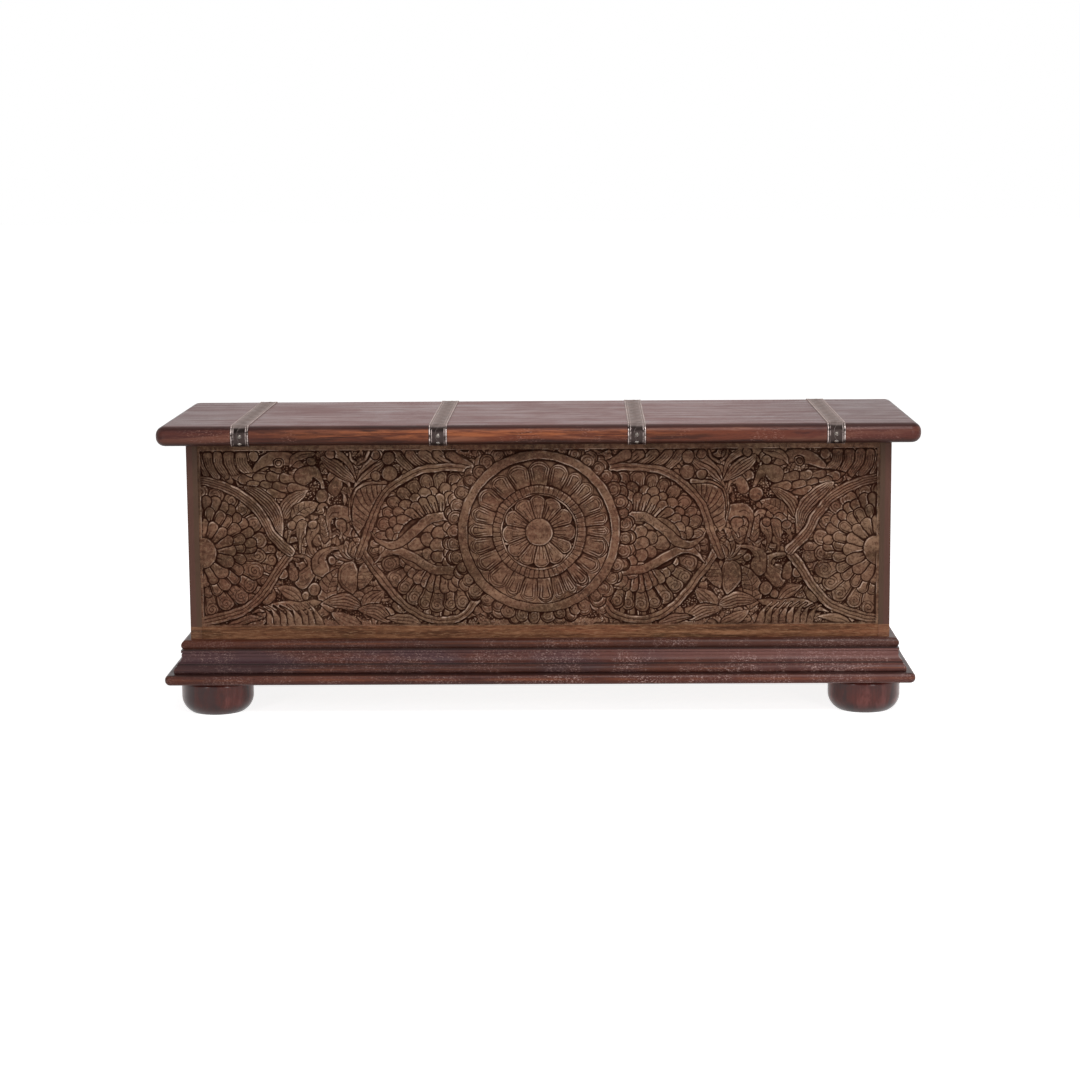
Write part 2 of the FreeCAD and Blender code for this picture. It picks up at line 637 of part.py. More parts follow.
def side_circle():
    """Left of the two side circles: rows of petals, with scales between two crossing bands."""
    place = SIDE_CIRCLE_PLACE
    petals = [
        scalloped_disc(place, SIDE_OUTER_PETAL_RADIUS, SIDE_OUTER_PETAL_COUNT, 3),
        scalloped_disc(place, SIDE_INNER_PETAL_RADIUS, SIDE_INNER_PETAL_COUNT, 2)]
    upper = from_shares(place, SIDE_RIM_OUTER_RADIUS, UPPER_BAND_SHARES)
    lower = from_shares(place, SIDE_RIM_OUTER_RADIUS, LOWER_BAND_SHARES)
    almond_corners = [on_panel(point) for point in upper[2:] + lower[:1:-1] + upper[2:3]]
    almond = raised(Part.makePolygon(almond_corners).Edges, 0)
    forms = [petal.cut(almond) for petal in petals]
    for column in range(SIDE_SCALE_COLUMNS):
        x = place[0] + (column - SIDE_SCALE_COLUMNS + 1) * SIDE_SCALE_PITCH
        for row in range(column + 1):
            z = place[1] + (row - column / 2) * SIDE_SCALE_PITCH
            half = (SIDE_SCALE_PITCH - CARVING_GAP) / 2
            forms.append(raised_disc((x, z), half, 2))
    forms.append(raised_ring(place, SIDE_RIM_INNER_RADIUS, SIDE_RIM_OUTER_RADIUS, 0))
    forms.append(band(upper, SIDE_BAND_WIDTH, 0))
    forms.append(band(lower, SIDE_BAND_WIDTH, 0))
    return forms


def end_rosette():
    """Half rosette at the left end of the field, inside a band that comes to a point."""
    place = END_ROSETTE_PLACE
    rows = enumerate(zip(END_ROSETTE_ROW_RADII, END_ROSETTE_ROW_COUNTS), start=1)
    forms = [scalloped_disc(place, radius, count, level) for level, (radius, count) in rows]
    forms.append(raised_disc(place, END_ROSETTE_BOSS_RADIUS, 0))
    for shares in (UPPER_CRESCENT_SHARES, LOWER_CRESCENT_SHARES):
        points = [on_panel(point) for point in from_shares(place, END_ROSETTE_ROW_RADII[-1], shares)]
        tip, outer_middle, outer_end, inner_end, inner_middle = points
        edges = [
            Part.Arc(tip, outer_middle, outer_end).toShape(), Part.makeLine(outer_end, inner_end),
            Part.Arc(inner_end, inner_middle, tip).toShape()]
        forms.append(raised(edges, 0))
    return forms


def foliage():
    """Leaves and berries of the left half, between its circles."""
    def spot(along, up):
        return (along * FIELD_HALF_LENGTH - FIELD_HALF_LENGTH, FIELD_LOW + up * FIELD_HEIGHT)

    forms = []
    leaves = list(LEAF_SHARES)
    rows = (
        (FRINGE_COUNT, FRINGE_PITCH_SHARE, FRINGE_SHARES),
        (TOP_LEAF_COUNT, TOP_LEAF_PITCH_SHARE, TOP_LEAF_SHARES),
        (BOTTOM_LEAF_COUNT, BOTTOM_LEAF_PITCH_SHARE, BOTTOM_LEAF_SHARES),
    )
    for count, pitch, (x0, z0, x1, z1, half) in rows:
        leaves += [(x0 + number * pitch, z0, x1 + number * pitch, z1, half) for number in range(count)]
    for x0, z0, x1, z1, half in leaves:
        forms.append(leaf(spot(x0, z0), spot(x1, z1), half * FIELD_HEIGHT, 2))
    flower = spot(*FLOWER_SHARES)
    flower_half = FLOWER_LEAF_HALF_SHARE * FIELD_HEIGHT
    for number in range(FLOWER_LEAF_COUNT):
        turn = QUARTER_TURN + number * FLOWER_LEAF_PITCH
        across, up = polar(FLOWER_LEAF_REACH_SHARE * FIELD_HEIGHT, turn)
        forms.append(leaf(flower, (flower[0] + across, flower[1] + up), flower_half, 1))
    for along, up, radius in BERRY_SHARES:
        forms.append(raised_disc(spot(along, up), radius * FIELD_HEIGHT, 1))
    return forms


def carving(field):
    """The carving's forms within the field: the medallion over the circles, and these over the leaves."""
    middle = raised_disc(MEDALLION_PLACE, MEDALLION_SCALLOP_RADIUS - CARVING_TUCK, 0)
    circle = raised_disc(SIDE_CIRCLE_PLACE, SIDE_RIM_OUTER_RADIUS - CARVING_TUCK, 0)
    end = raised_disc(END_ROSETTE_PLACE, END_ROSETTE_ROW_RADII[-1] - CARVING_TUCK, 0)
    left = [form.cut(middle) for form in side_circle()]
    left += [form.cut(middle).cut(circle).cut(end) for form in foliage()]
    left += end_rosette()
    forms = medallion()
    for form in left:
        forms += [form, form.mirror(V(0, 0, 0), X_AXIS)]
    return [piece for form in forms for piece in form.common(field).Solids]


def front_panel():
    """Front wall with its carved field sunk inside plain borders."""
    field, room = [
        block(-FIELD_HALF_LENGTH, FIELD_HALF_LENGTH, FRONT_FACE_Y - CUT_OVERRUN, back_y, FIELD_LOW, FIELD_HIGH)
        for back_y in (FIELD_GROUND_Y, FIELD_GROUND_Y + CARVING_ROOT)]
    return long_wall(FRONT_FACE_Y, FRONT_INNER_Y).cut(field).fuse(carving(room))


def back_panel():
    holes = []
    for x in HINGE_PLACES.values():
        holes += holes_for(hinge_screw_heads(x)[0], Y_AXIS * -1, HINGE_SCREW_LENGTH)
    return cut_all(long_wall(BACK_INNER_Y, BOX_HALF_DEPTH), holes)


def box_walls():
    right = end_board()
    walls = {
        "front_panel": front_panel(),
        "back_panel": back_panel(),
        "right_end_board": right,
        "left_end_board": right.mirror(V(0, 0, 0), X_AXIS),
    }
    holes = holes_for(wall_screw_heads(), Z_AXIS, WALL_SCREW_LENGTH)
    return {name: cut_all(wall, holes) for name, wall in walls.items()}


def floor_boards():
    holes = holes_for(floor_screw_heads(), Z_AXIS * -1, FLOOR_SCREW_LENGTH)
    reach = END_INNER_X - FLOOR_CLEARANCE
    top = BASE_TOP + FLOOR_THICKNESS
    front = block(-reach, reach, FRONT_INNER_Y + FLOOR_CLEARANCE, 0, BASE_TOP, top)
    rear = block(-reach, reach, 0, BACK_INNER_Y - FLOOR_CLEARANCE, BASE_TOP, top)
    return {
        "floor_board_front": cut_all(front, holes),
        "floor_board_rear": cut_all(rear, holes),
    }


def rail_tenons(x0, x1, clearance):
    """Tenons on both ends of a rail that runs from front to back, or, wider, their mortises."""
    shoulder_y = BASE_HALF_DEPTH - BASE_RAIL_WIDTH
    reach = shoulder_y + TENON_LENGTH + clearance
    middle_z = (BASE_BOTTOM + BASE_TOP) / 2
    half = TENON_THICKNESS / 2 + clearance
    x0 -= clearance
    x1 += clearance
    return [
        block(x0, x1, shoulder_y, reach, middle_z - half, middle_z + half),
        block(x0, x1, -reach, -shoulder_y, middle_z - half, middle_z + half),
    ]


def base_frame():
    blank = rounded_slab(
        BASE_HALF_LENGTH, BASE_HALF_DEPTH, BASE_BOTTOM, BASE_TOP,
        BASE_CORNER_RADIUS, BASE_NOSE_RADIUS)
    shoulder_x = BASE_HALF_LENGTH - BASE_RAIL_WIDTH
    shoulder_y = BASE_HALF_DEPTH - BASE_RAIL_WIDTH
    outer_tenon = BASE_HALF_LENGTH - TENON_SHOULDER
    inner_tenon = FOOT_X + SPIGOT_RADIUS + TENON_SPIGOT_WALL
    middle_half = CROSS_RAIL_WIDTH / 2
    middle_tenon = middle_half - TENON_SHOULDER
    cross_spans = {
        "base_rail_left": (-BASE_HALF_LENGTH, -shoulder_x, -outer_tenon, -inner_tenon),
        "base_rail_middle": (-middle_half, middle_half, -middle_tenon, middle_tenon),
        "base_rail_right": (shoulder_x, BASE_HALF_LENGTH, inner_tenon, outer_tenon),
    }
    long_spans = {
        "base_rail_front": (-BASE_HALF_DEPTH, -shoulder_y),
        "base_rail_back": (shoulder_y, BASE_HALF_DEPTH),
    }
    holes = holes_for(wall_screw_heads(), Z_AXIS, WALL_SCREW_LENGTH)
    holes += holes_for(floor_screw_heads(), Z_AXIS * -1, FLOOR_SCREW_LENGTH)
    rails = {}
    mortises = []
    for name, (x0, x1, tenon_x0, tenon_x1) in cross_spans.items():
        span = block(x0, x1, -shoulder_y, shoulder_y, BASE_BOTTOM, BASE_TOP)
        body = fuse_all([blank.common(span)] + rail_tenons(tenon_x0, tenon_x1, 0))
        rails[name] = cut_all(body, holes)
        mortises += rail_tenons(tenon_x0, tenon_x1, TENON_CLEARANCE)
    for name, (y0, y1) in long_spans.items():
        span = block(-BASE_HALF_LENGTH, BASE_HALF_LENGTH, y0, y1, BASE_BOTTOM, BASE_TOP)
        rails[name] = cut_all(blank.common(span), mortises + holes + spigot_holes())
    return rails


def spigot_holes():
    radius = SPIGOT_RADIUS + SPIGOT_CLEARANCE
    return [
        Part.makeCylinder(radius, BASE_THICKNESS, V(x, y, BASE_BOTTOM))
        for x in (-FOOT_X, FOOT_X) for y in (-FOOT_Y, FOOT_Y)]


def bead_outline():
    """Half-round bead along the foot of the walls, cut back above the ogee."""
    radius = BEAD_HEIGHT / 2
    centre = BEAD_PROJECTION - radius
    out, down = polar(radius, BEAD_QUIRK_ANGLE)
    return [
        (0, 0),
        (0, BEAD_HEIGHT),
        (centre, BEAD_HEIGHT),
        (BEAD_PROJECTION, radius, centre + out, radius - down),
        (centre + out, 0),
    ]


def ogee_outline():
    """Fillet, small swell and hollow flare, ending in a second fillet."""
    fillet_z = OGEE_HEIGHT - OGEE_FILLET_HEIGHT
    neck_z = OGEE_NECK_HEIGHT_SHARE * OGEE_HEIGHT
    swell_z = OGEE_SWELL_HEIGHT_SHARE * OGEE_HEIGHT
    flare_z = OGEE_FLARE_HEIGHT_SHARE * OGEE_HEIGHT
    flare = OGEE_FOOT_PROJECTION - OGEE_NECK_PROJECTION
    return [
        (0, 0),
        (0, OGEE_HEIGHT),
        (OGEE_FILLET_PROJECTION, OGEE_HEIGHT),
        (OGEE_FILLET_PROJECTION, fillet_z),
        (OGEE_QUIRK_PROJECTION, fillet_z),
        (OGEE_SWELL_PROJECTION, swell_z, OGEE_NECK_PROJECTION, neck_z),
        (OGEE_NECK_PROJECTION + OGEE_FLARE_REACH_SHARE * flare, flare_z,
         OGEE_FOOT_PROJECTION, OGEE_FOOT_FILLET),
        (OGEE_FOOT_PROJECTION, 0),
    ]


def foot_bead_outline():
    """Fillet over a full, slightly flattened bead that stands on the base frame."""
    return [
        (0, 0),
        (0, FOOT_BEAD_HEIGHT),
        (FOOT_BEAD_TOP_PROJECTION, FOOT_BEAD_HEIGHT),
        (FOOT_BEAD_TOP_PROJECTION, FOOT_BEAD_HEIGHT - FOOT_BEAD_FILLET),
        (FOOT_BEAD_TIP_PROJECTION, FOOT_BEAD_TIP_HEIGHT_SHARE * FOOT_BEAD_HEIGHT,
         FOOT_BEAD_HEEL_PROJECTION, 0),
    ]


def mitred_run(outline, z0, half_run, wall, reach):
    """Moulding on the wall face y = -wall, cut at 45 degrees where it meets its neighbours."""
    flipped = []
    for step in outline:
        places = list(step)
        places[0::2] = [-(wall + p) for p in places[0::2]]
        places[1::2] = [z0 + z for z in places[1::2]]
        flipped.append(tuple(places))
    bar = outline_face(flipped)
    bar.translate(V(-half_run - reach, 0, 0))
    bar = bar.extrude(V(2 * (half_run + reach), 0, 0))
    corners = [
        V(-half_run, -wall, 0),
        V(half_run, -wall, 0),
        V(half_run + reach, -wall - reach, 0),
        V(-half_run - reach, -wall - reach, 0),
    ]
    plan = Part.Face(Part.makePolygon(corners + corners[:1]))
    return bar.common(plan.extrude(V(0, 0, WALL_TOP)))


def plinth_mouldings():
    """Three courses of moulding round the foot of the box, each in four mitred runs."""
    courses = (
        ("plinth_foot_bead", foot_bead_outline(), FOOT_BEAD_HEIGHT, FOOT_BEAD_TIP_PROJECTION),
        ("plinth_ogee", ogee_outline(), OGEE_HEIGHT, OGEE_FOOT_PROJECTION),
        ("plinth_bead", bead_outline(), BEAD_HEIGHT, BEAD_PROJECTION),
    )
    runs = {}
    z0 = BASE_TOP
    for course, outline, height, reach in courses:
        for side, turn in SIDE_TURNS.items():
            half_run, wall = BOX_HALF_LENGTH, BOX_HALF_DEPTH
            if side in ("left", "right"):
                half_run, wall = wall, half_run
            run = mitred_run(outline, z0, half_run, wall, reach)
            run.rotate(V(0, 0, 0), Z_AXIS, turn)
            runs[course + "_" + side] = run
        z0 += height
    return runs


def foot_outline():
    """Half section of a turned foot with its spigot, from the floor up."""
    drop = FOOT_RADIUS - FOOT_BASE_RADIUS
    belly = (FOOT_BELLY_HEIGHT ** 2 + drop ** 2) / (2 * drop)
    sweep = math.degrees(math.asin(FOOT_BELLY_HEIGHT / belly))
    out, down = polar(belly, sweep / 2)
    top_out, top_up = polar(FOOT_TOP_ROUND, QUARTER_TURN / 2)
    top_y = FOOT_RADIUS - FOOT_TOP_ROUND
    top_z = FOOT_HEIGHT - FOOT_TOP_ROUND
    spigot_z = BASE_TOP - SPIGOT_CLEARANCE
    return [
        (0, 0),
        (FOOT_BASE_RADIUS, 0),
        (FOOT_RADIUS - belly + out, FOOT_BELLY_HEIGHT - down, FOOT_RADIUS, FOOT_BELLY_HEIGHT),
        (FOOT_RADIUS, top_z),
        (top_y + top_out, top_z + top_up, top_y, FOOT_HEIGHT),
        (SPIGOT_RADIUS, FOOT_HEIGHT),
        (SPIGOT_RADIUS, spigot_z),
        (0, spigot_z),
    ]


def feet():
    made = {}
    for depth, y in (("front", -FOOT_Y), ("back", FOOT_Y)):
        for side, x in (("left", -FOOT_X), ("right", FOOT_X)):
            made["foot_" + depth + "_" + side] = turned(foot_outline(), V(x, y, 0), Z_AXIS)
    return made


def knuckle_spans(x, first, gap):
    """Ranges along the pin of every second knuckle, from the first one on."""
    pitch = HINGE_LENGTH / HINGE_KNUCKLE_COUNT
    start = x - HINGE_LENGTH / 2
    spans = []
    for index in range(first, HINGE_KNUCKLE_COUNT, 2):
        spans.append((start + index * pitch + gap, start + (index + 1) * pitch - gap))
    return spans


def hinge_leaf(x, first, heads):
    """Leaf that hangs down from the pin against a wall face, with its knuckles and screw holes."""
    face = PIN_Y - PIN_OFFSET
    gap = HINGE_RUNNING_GAP / 2
    half = HINGE_LENGTH / 2 - gap
    plate = block(
        x - half, x + half, face, face + HINGE_LEAF_THICKNESS, PIN_Z - HINGE_LEAF_WIDTH, PIN_Z)
    corners = [
        e for e in plate.Edges
        if e.BoundBox.YLength > SAME_PLACE
        and abs(e.BoundBox.ZMax - PIN_Z + HINGE_LEAF_WIDTH) < SAME_PLACE]
    plate = plate.makeFillet(HINGE_LEAF_CORNER, corners)
    clear = HINGE_KNUCKLE_RADIUS + HINGE_RUNNING_GAP
    bore = HINGE_PIN_RADIUS + HINGE_PIN_CLEARANCE
    for x0, x1 in knuckle_spans(x, 1 - first, -gap):
        plate = plate.cut(block(x0, x1, face, PIN_Y, PIN_Z - clear, PIN_Z))
    barrels = []
    for x0, x1 in knuckle_spans(x, first, gap):
        barrels.append(
            Part.makeCylinder(HINGE_KNUCKLE_RADIUS, x1 - x0, V(x0, PIN_Y, PIN_Z), X_AXIS))
    leaf = fuse_all([plate] + barrels)
    leaf = leaf.cut(Part.makeCylinder(bore, 2 * half, V(x - half, PIN_Y, PIN_Z), X_AXIS))
    return cut_all(leaf, holes_for(heads, Y_AXIS * -1, HINGE_SCREW_LENGTH))


def hinge_pin(x):
    """Pin with a round head outside each end knuckle."""
    half = HINGE_LENGTH / 2
    pin = Part.makeCylinder(HINGE_PIN_RADIUS, HINGE_LENGTH, V(x - half, PIN_Y, PIN_Z), X_AXIS)
    heads = []
    for side in (-1, 1):
        heads.append(Part.makeCylinder(
            HINGE_PIN_HEAD_RADIUS, HINGE_PIN_HEAD_HEIGHT,
            V(x + side * half, PIN_Y, PIN_Z), X_AXIS * side))
    return fuse_all([pin] + heads)


def hinges():
    """Three butt hinges: box leaf on the back wall, lid leaf under the rear overhang."""
    made = {}
    pin_line = V(0, PIN_Y, PIN_Z)
    for name, x in HINGE_PLACES.items():
        box_heads, lid_heads = hinge_screw_heads(x)
        made["hinge_box_leaf_" + name] = hinge_leaf(x, 0, box_heads)
        lid_leaf = hinge_leaf(x, 1, box_heads)
        lid_leaf = lid_leaf.mirror(pin_line, V(0, 1, 1))
        made["hinge_lid_leaf_" + name] = lid_leaf
        made["hinge_pin_" + name] = hinge_pin(x)
    return made


def fasteners():
    """Groups of equal screws and nails."""
    box_heads = []
    lid_heads = []
    for x in HINGE_PLACES.values():
        box, lid = hinge_screw_heads(x)
        box_heads += box
        lid_heads += lid
    groups = {
        "batten_screws": (batten_screw_heads(), Z_AXIS, BATTEN_SCREW_LENGTH),
        "floor_screws": (floor_screw_heads(), Z_AXIS * -1, FLOOR_SCREW_LENGTH),
        "wall_screws": (wall_screw_heads(), Z_AXIS, WALL_SCREW_LENGTH),
        "hinge_box_screws": (box_heads, Y_AXIS * -1, HINGE_SCREW_LENGTH),
        "hinge_lid_screws": (lid_heads, Z_AXIS, HINGE_SCREW_LENGTH),
    }
    made = {}
    for name, (heads, direction, length) in groups.items():
        made[name] = Part.makeCompound([screw(head, direction, length) for head in heads])
    made["strap_nails"] = Part.makeCompound(
        [nail(seat, outward) for seat, outward in nail_seats()])
    return made


def build():
    pieces = {}
    for group in (lid_boards, lid_battens, straps, box_walls, floor_boards,
                  base_frame, plinth_mouldings, feet, hinges, fasteners):
        pieces.update(group())
    return pieces


os.makedirs("parts", exist_ok=True)
for node, shape in build().items():
    shape.exportStep("parts/" + node + ".step")
    print(node, len(shape.Solids), shape.isValid(), round(shape.Volume))
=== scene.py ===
import math

import bpy
import numpy as np
from mathutils import Matrix, Vector


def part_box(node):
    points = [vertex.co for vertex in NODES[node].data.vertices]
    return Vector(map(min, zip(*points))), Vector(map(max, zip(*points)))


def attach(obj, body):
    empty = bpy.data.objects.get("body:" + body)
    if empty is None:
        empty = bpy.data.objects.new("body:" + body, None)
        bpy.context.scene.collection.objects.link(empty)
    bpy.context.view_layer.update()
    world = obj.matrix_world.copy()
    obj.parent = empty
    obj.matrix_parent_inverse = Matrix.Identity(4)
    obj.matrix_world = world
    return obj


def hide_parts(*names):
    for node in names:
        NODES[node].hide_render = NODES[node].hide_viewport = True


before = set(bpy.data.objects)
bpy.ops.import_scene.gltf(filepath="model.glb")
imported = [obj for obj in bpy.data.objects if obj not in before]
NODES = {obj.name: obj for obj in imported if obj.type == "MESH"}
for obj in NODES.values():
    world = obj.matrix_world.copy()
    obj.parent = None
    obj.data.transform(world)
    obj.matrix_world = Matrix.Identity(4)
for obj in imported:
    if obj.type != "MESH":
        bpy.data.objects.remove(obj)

bpy.context.scene.view_settings.view_transform = "Standard"

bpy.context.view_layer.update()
MM = 0.001

# Camera: the photograph's, solved from the chest's corners
IMAGE_SIZE = 1080
SENSOR_WIDTH = 36.0
FOCAL_PIXELS = 2580.4964
CAMERA_PLACE = Vector((0.081306, -4.561129, 0.969393))
CAMERA_YAW = -0.0179706
CAMERA_PITCH = 0.1505396
CAMERA_ROLL = -0.0074475
CAMERA_REACH = 100.0

# Studio: a pale floor, a white world and broad lamps that look at the chest
FLOOR_SIZE = 60.0
FLOOR_GREY = 0.80
FLOOR_GLOW = 0.86
WORLD_FILL = 0.22
WHITE = (1.0, 1.0, 1.0, 1.0)
LAMP_AIM = Vector((0.0, 0.0, 0.25))
LAMPS = (  # name, place, width, height, power
    ("key", (0.9, -2.4, 3.2), 1.8, 1.8, 92.0),
    ("left", (-2.3, -3.5, 1.0), 0.5, 1.9, 24.0),
    ("right", (2.0, -3.5, 1.0), 0.5, 1.9, 24.0),
    ("top", (0.3, 1.0, 3.6), 2.6, 2.6, 13.0),
)

# Front panel: its face as the photograph shows it, and the carved field within its borders
FACE_U = 538.56
FACE_V = 532.1
FACE_Z = 317.3
FACE_MIDDLE = 310.0
FACE_MM_U = 1.7206
FACE_MM_V = 1.7395
FACE_SHEAR = 0.0074
FACE_TURN = 0.0048
FACE_CENTRE = 0.9
PANEL_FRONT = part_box("front_panel")[0].y
PANEL_HALF = -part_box("left_end_board")[1].x
FIELD_SIDE = 4.0 * MM
FIELD_LOW = 155.2 * MM
FIELD_HIGH = 461.0 * MM
FIELD_SLOPE = 1.4 * MM
GRID_STEP = 1.0
RELIEF = 1.2
PANEL_LENGTHS = ("front_panel_left", "front_panel_left_middle", "front_panel_right_middle",
                 "front_panel_right")

# Dirt with painted shade, and rubbed rims with a painted highlight, on the carving: blur radii in grid steps,
# and heights in millimetres for full effect
SUNK_RADIUS, SUNK_DEPTH, SUNK_SHARE = 9.0, 3.0, 0.5
DIRT_AND_SHADE_RADIUS, DIRT_AND_SHADE_DEPTH = 2.4, 1.3
RIM_RADIUS, RIM_HEIGHT = 1.5, 0.75
RIMLESS_ROWS = 6
FAINTER_ROWS = 14

# Straps: their path round the lid and their embossing, in millimetres across and along
LID_NOSE = 15.0 * MM
STRAP_TAIL = 26.0 * MM
STRAP_FIELD = 1.05
STRAP_HIGH = 1.65
STRAP_COLUMNS = 62
STRAP_BEVEL = 0.25
NOSE_STEPS = 16
TOP_STEPS = 300
EDGE_RIB = 14.0
GROOVE = 12.2
INNER_RIB = 10.6
VINE_FIELD = 9.6
VINE_PITCH = 52.0
VINE_SWING = 4.6
SHELL_SIDE = 3.4
SHELL_RADIUS = 4.4


def add(name, data):
    """A new object in the scene."""
    made = bpy.data.objects.new(name, data)
    bpy.context.scene.collection.objects.link(made)
    return made


def linear(colour):
    """A colour as it is seen on screen, 0 to 255, as the linear values a shader takes."""
    parts = [value / 255 for value in colour]
    return [part / 12.92 if part <= 0.04045 else ((part + 0.055) / 1.055) ** 2.4 for part in parts] + [1.0]


class Graph:
    """The nodes of a material or a world, each made by a call that returns the output to carry on from.

    A colour of three numbers is as seen on screen, 0 to 255, and one of four is linear.
    """

    def __init__(self, owner, output="Material"):
        owner.use_nodes = True
        self.owner = owner
        self.tree = owner.node_tree
        self.tree.nodes.clear()
        self.output = self.tree.nodes.new("ShaderNodeOutput" + output)

    def node(self, kind, out=0, settings=None, numbered=None, **named):
        made = self.tree.nodes.new("ShaderNode" + kind)
        for key, value in (settings or {}).items():
            setattr(made, key, value)
        for key, value in {**(numbered or {}), **named}.items():
            self.feed(made.inputs[key if isinstance(key, int) else key.replace("_", " ")], value)
        return made.outputs[out]

    def feed(self, socket, value):
        if isinstance(value, bpy.types.NodeSocket):
            self.tree.links.new(value, socket)
        elif isinstance(value, tuple) and len(value) == 3 and socket.type == "RGBA":
            socket.default_value = linear(value)
        else:
            socket.default_value = value

    def show(self, surface):
        self.tree.links.new(surface, self.output.inputs["Surface"])
        return self.owner

    def place(self, stretch=(1, 1, 1), offset=(0, 0, 0)):
        return self.node("Mapping", Vector=self.node("TexCoord", out=3), Scale=stretch, Location=offset)

    def axes(self):
        """The x, y and z of a point on the surface."""
        made = self.tree.nodes.new("ShaderNodeSeparateXYZ")
        self.tree.links.new(self.place(), made.inputs[0])
        return tuple(made.outputs)

    def attribute(self, name):
        return self.node("Attribute", out=2, settings={"attribute_name": name})

    def noise(self, scale, detail=4.0, roughness=0.55, distortion=0.0, stretch=(1, 1, 1), offset=(0, 0, 0)):
        return self.node("TexNoise", Vector=self.place(stretch, offset), Scale=scale, Detail=detail,
                         Roughness=roughness, Distortion=distortion)

    def cells(self, scale, stretch=(1, 1, 1)):
        return self.node("TexVoronoi", Vector=self.place(stretch), Scale=scale)

    def math(self, operation, *values):
        return self.node("Math", settings={"operation": operation}, numbered=dict(enumerate(values)))

    def product(self, first, *others):
        for other in others:
            first = self.math("MULTIPLY", first, other)
        return first

    def blend(self, *parts):
        """The sum of values, each times its weight."""
        whole, *others = [self.math("MULTIPLY", value, weight) for value, weight in parts]
        for other in others:
            whole = self.math("ADD", whole, other)
        return whole

    def range(self, value, low, high, to_low=0.0, to_high=1.0):
        """A value between low and high, carried smoothly to another span."""
        return self.node("MapRange", settings={"interpolation_type": "SMOOTHSTEP"},
                         numbered=dict(enumerate((value, low, high, to_low, to_high))))

    def away(self, value, middle):
        return self.math("ABSOLUTE", self.math("SUBTRACT", value, middle))

    def near(self, value, middle, inner, outer, most=1.0):
        """The most within the inner distance from the middle, 0 beyond the outer one."""
        return self.range(self.away(value, middle), inner, outer, most, 0.0)

    def span(self, value, low, high, inset=0.0):
        """1 between low and high, less the inset, and 0 from a millimetre beyond them."""
        half = (high - low) / 2
        return self.near(value, (low + high) / 2, half - inset, half + 1 * MM)

    def contours(self, scale, distortion, width):
        """Thin wandering lines, where a noise crosses its middle value."""
        return self.near(self.noise(scale, 3.0, 0.6, distortion), 0.5, 0.0, width)

    def edges(self, radius, low, high):
        """How much an edge turns within the radius, from 0 on flat ground to 1 on a sharp edge."""
        rounded = self.node("Bevel", settings={"samples": 6}, Radius=radius)
        turn = self.node("VectorMath", out=1, settings={"operation": "DOT_PRODUCT"},
                         numbered={0: rounded, 1: self.node("NewGeometry", out=1)})
        return self.range(self.math("SUBTRACT", 1.0, turn), low, high)

    def mix(self, factor, first, second):
        return self.node("Mix", out=2, settings={"data_type": "RGBA"},
                         numbered={0: factor, 6: first, 7: second})

    def layers(self, base, *coats):
        """The base under coats of colour: each a mask, or a value and its range, and then a colour."""
        for *mask, colour in coats:
            base = self.mix(self.range(*mask) if mask[1:] else mask[0], base, colour)
        return base

    def ramp(self, value, *stops):
        made = self.tree.nodes.new("ShaderNodeValToRGB")
        self.tree.links.new(value, made.inputs[0])
        band = made.color_ramp
        while len(band.elements) < len(stops):
            band.elements.new(0.5)
        for element, (place, colour) in zip(band.elements, stops):
            element.position = place
            element.color = linear(colour)
        return made.outputs[0]

    def bump(self, height, distance, strength):
        return self.node("Bump", Height=height, Distance=distance, Strength=strength)

    def seen(self):
        """1 for rays from the camera and for those that metal or glass sends on."""
        path = self.tree.nodes.new("ShaderNodeLightPath").outputs
        return self.math("MAXIMUM", self.math("MAXIMUM", path["Is Camera Ray"], path["Is Glossy Ray"]),
                         path["Is Transmission Ray"])


def wood(name, along, dark, middle, light, patch, wear, gloss, coat=0.0, edge_wear=0.6, grain=1.0,
         speckle=0.0, shine=0.32, zones=None):
    """Stained wood: grain along one axis, drifting patches, pores, rubbed edges and its own zones."""
    g = Graph(bpy.data.materials.new(name))

    def stretch(lengthwise, crosswise):
        return tuple(lengthwise if axis == along else crosswise for axis in "xyz")

    drift = g.noise(2.2, 3.0, 0.5, 0.4, stretch(1.0, 4.0))
    streaks = g.noise(3.4, 8.0, 0.62, 0.5, stretch(1.0, 14.0))
    fibres = g.noise(9.0, 3.0, 0.6, 0.0, stretch(1.6, 56.0))
    pore = g.range(g.cells(22.0, stretch(2.2, 42.0)), 0.10, 0.24, 1.0, 0.0)
    blotch = g.noise(7.5, 5.0, 0.6, 1.2)
    rubbed = g.product(g.edges(2.5 * MM, 0.02, 0.20), g.range(g.noise(38.0, 6.0, 0.7), 0.42, 0.62), edge_wear)
    base = g.ramp(g.blend((streaks, 0.72), (fibres, 0.28)), (0.30, dark), (0.50, middle), (0.70, light))
    base = g.layers(
        base,
        (drift, 0.46, 0.66, patch),
        (blotch, 0.52, 0.72, 0.0, 0.5, dark),
        (g.product(pore, 0.5 * grain), dark),
        (rubbed, wear))
    if speckle:
        flecks = g.range(g.noise(260.0, 4.0, 0.7, 0.0, (1.0, 2.4, 2.4)), 0.60, 0.72, 0.0, speckle)
        base = g.mix(flecks, base, wear)
    if zones:
        base = zones(g, base)
    rough = g.range(g.blend((streaks, 0.6), (blotch, 0.4)), 0.35, 0.65, gloss - 0.07, gloss + 0.10)
    height = g.blend((streaks, 0.5), (fibres, 0.5), (pore, -0.35))
    return g.show(g.node("BsdfPrincipled", Base_Color=base, Roughness=rough, Specular_IOR_Level=shine,
                         Normal=g.bump(height, 0.35 * MM * grain, 0.8), Coat_Weight=coat, Coat_Roughness=0.2))


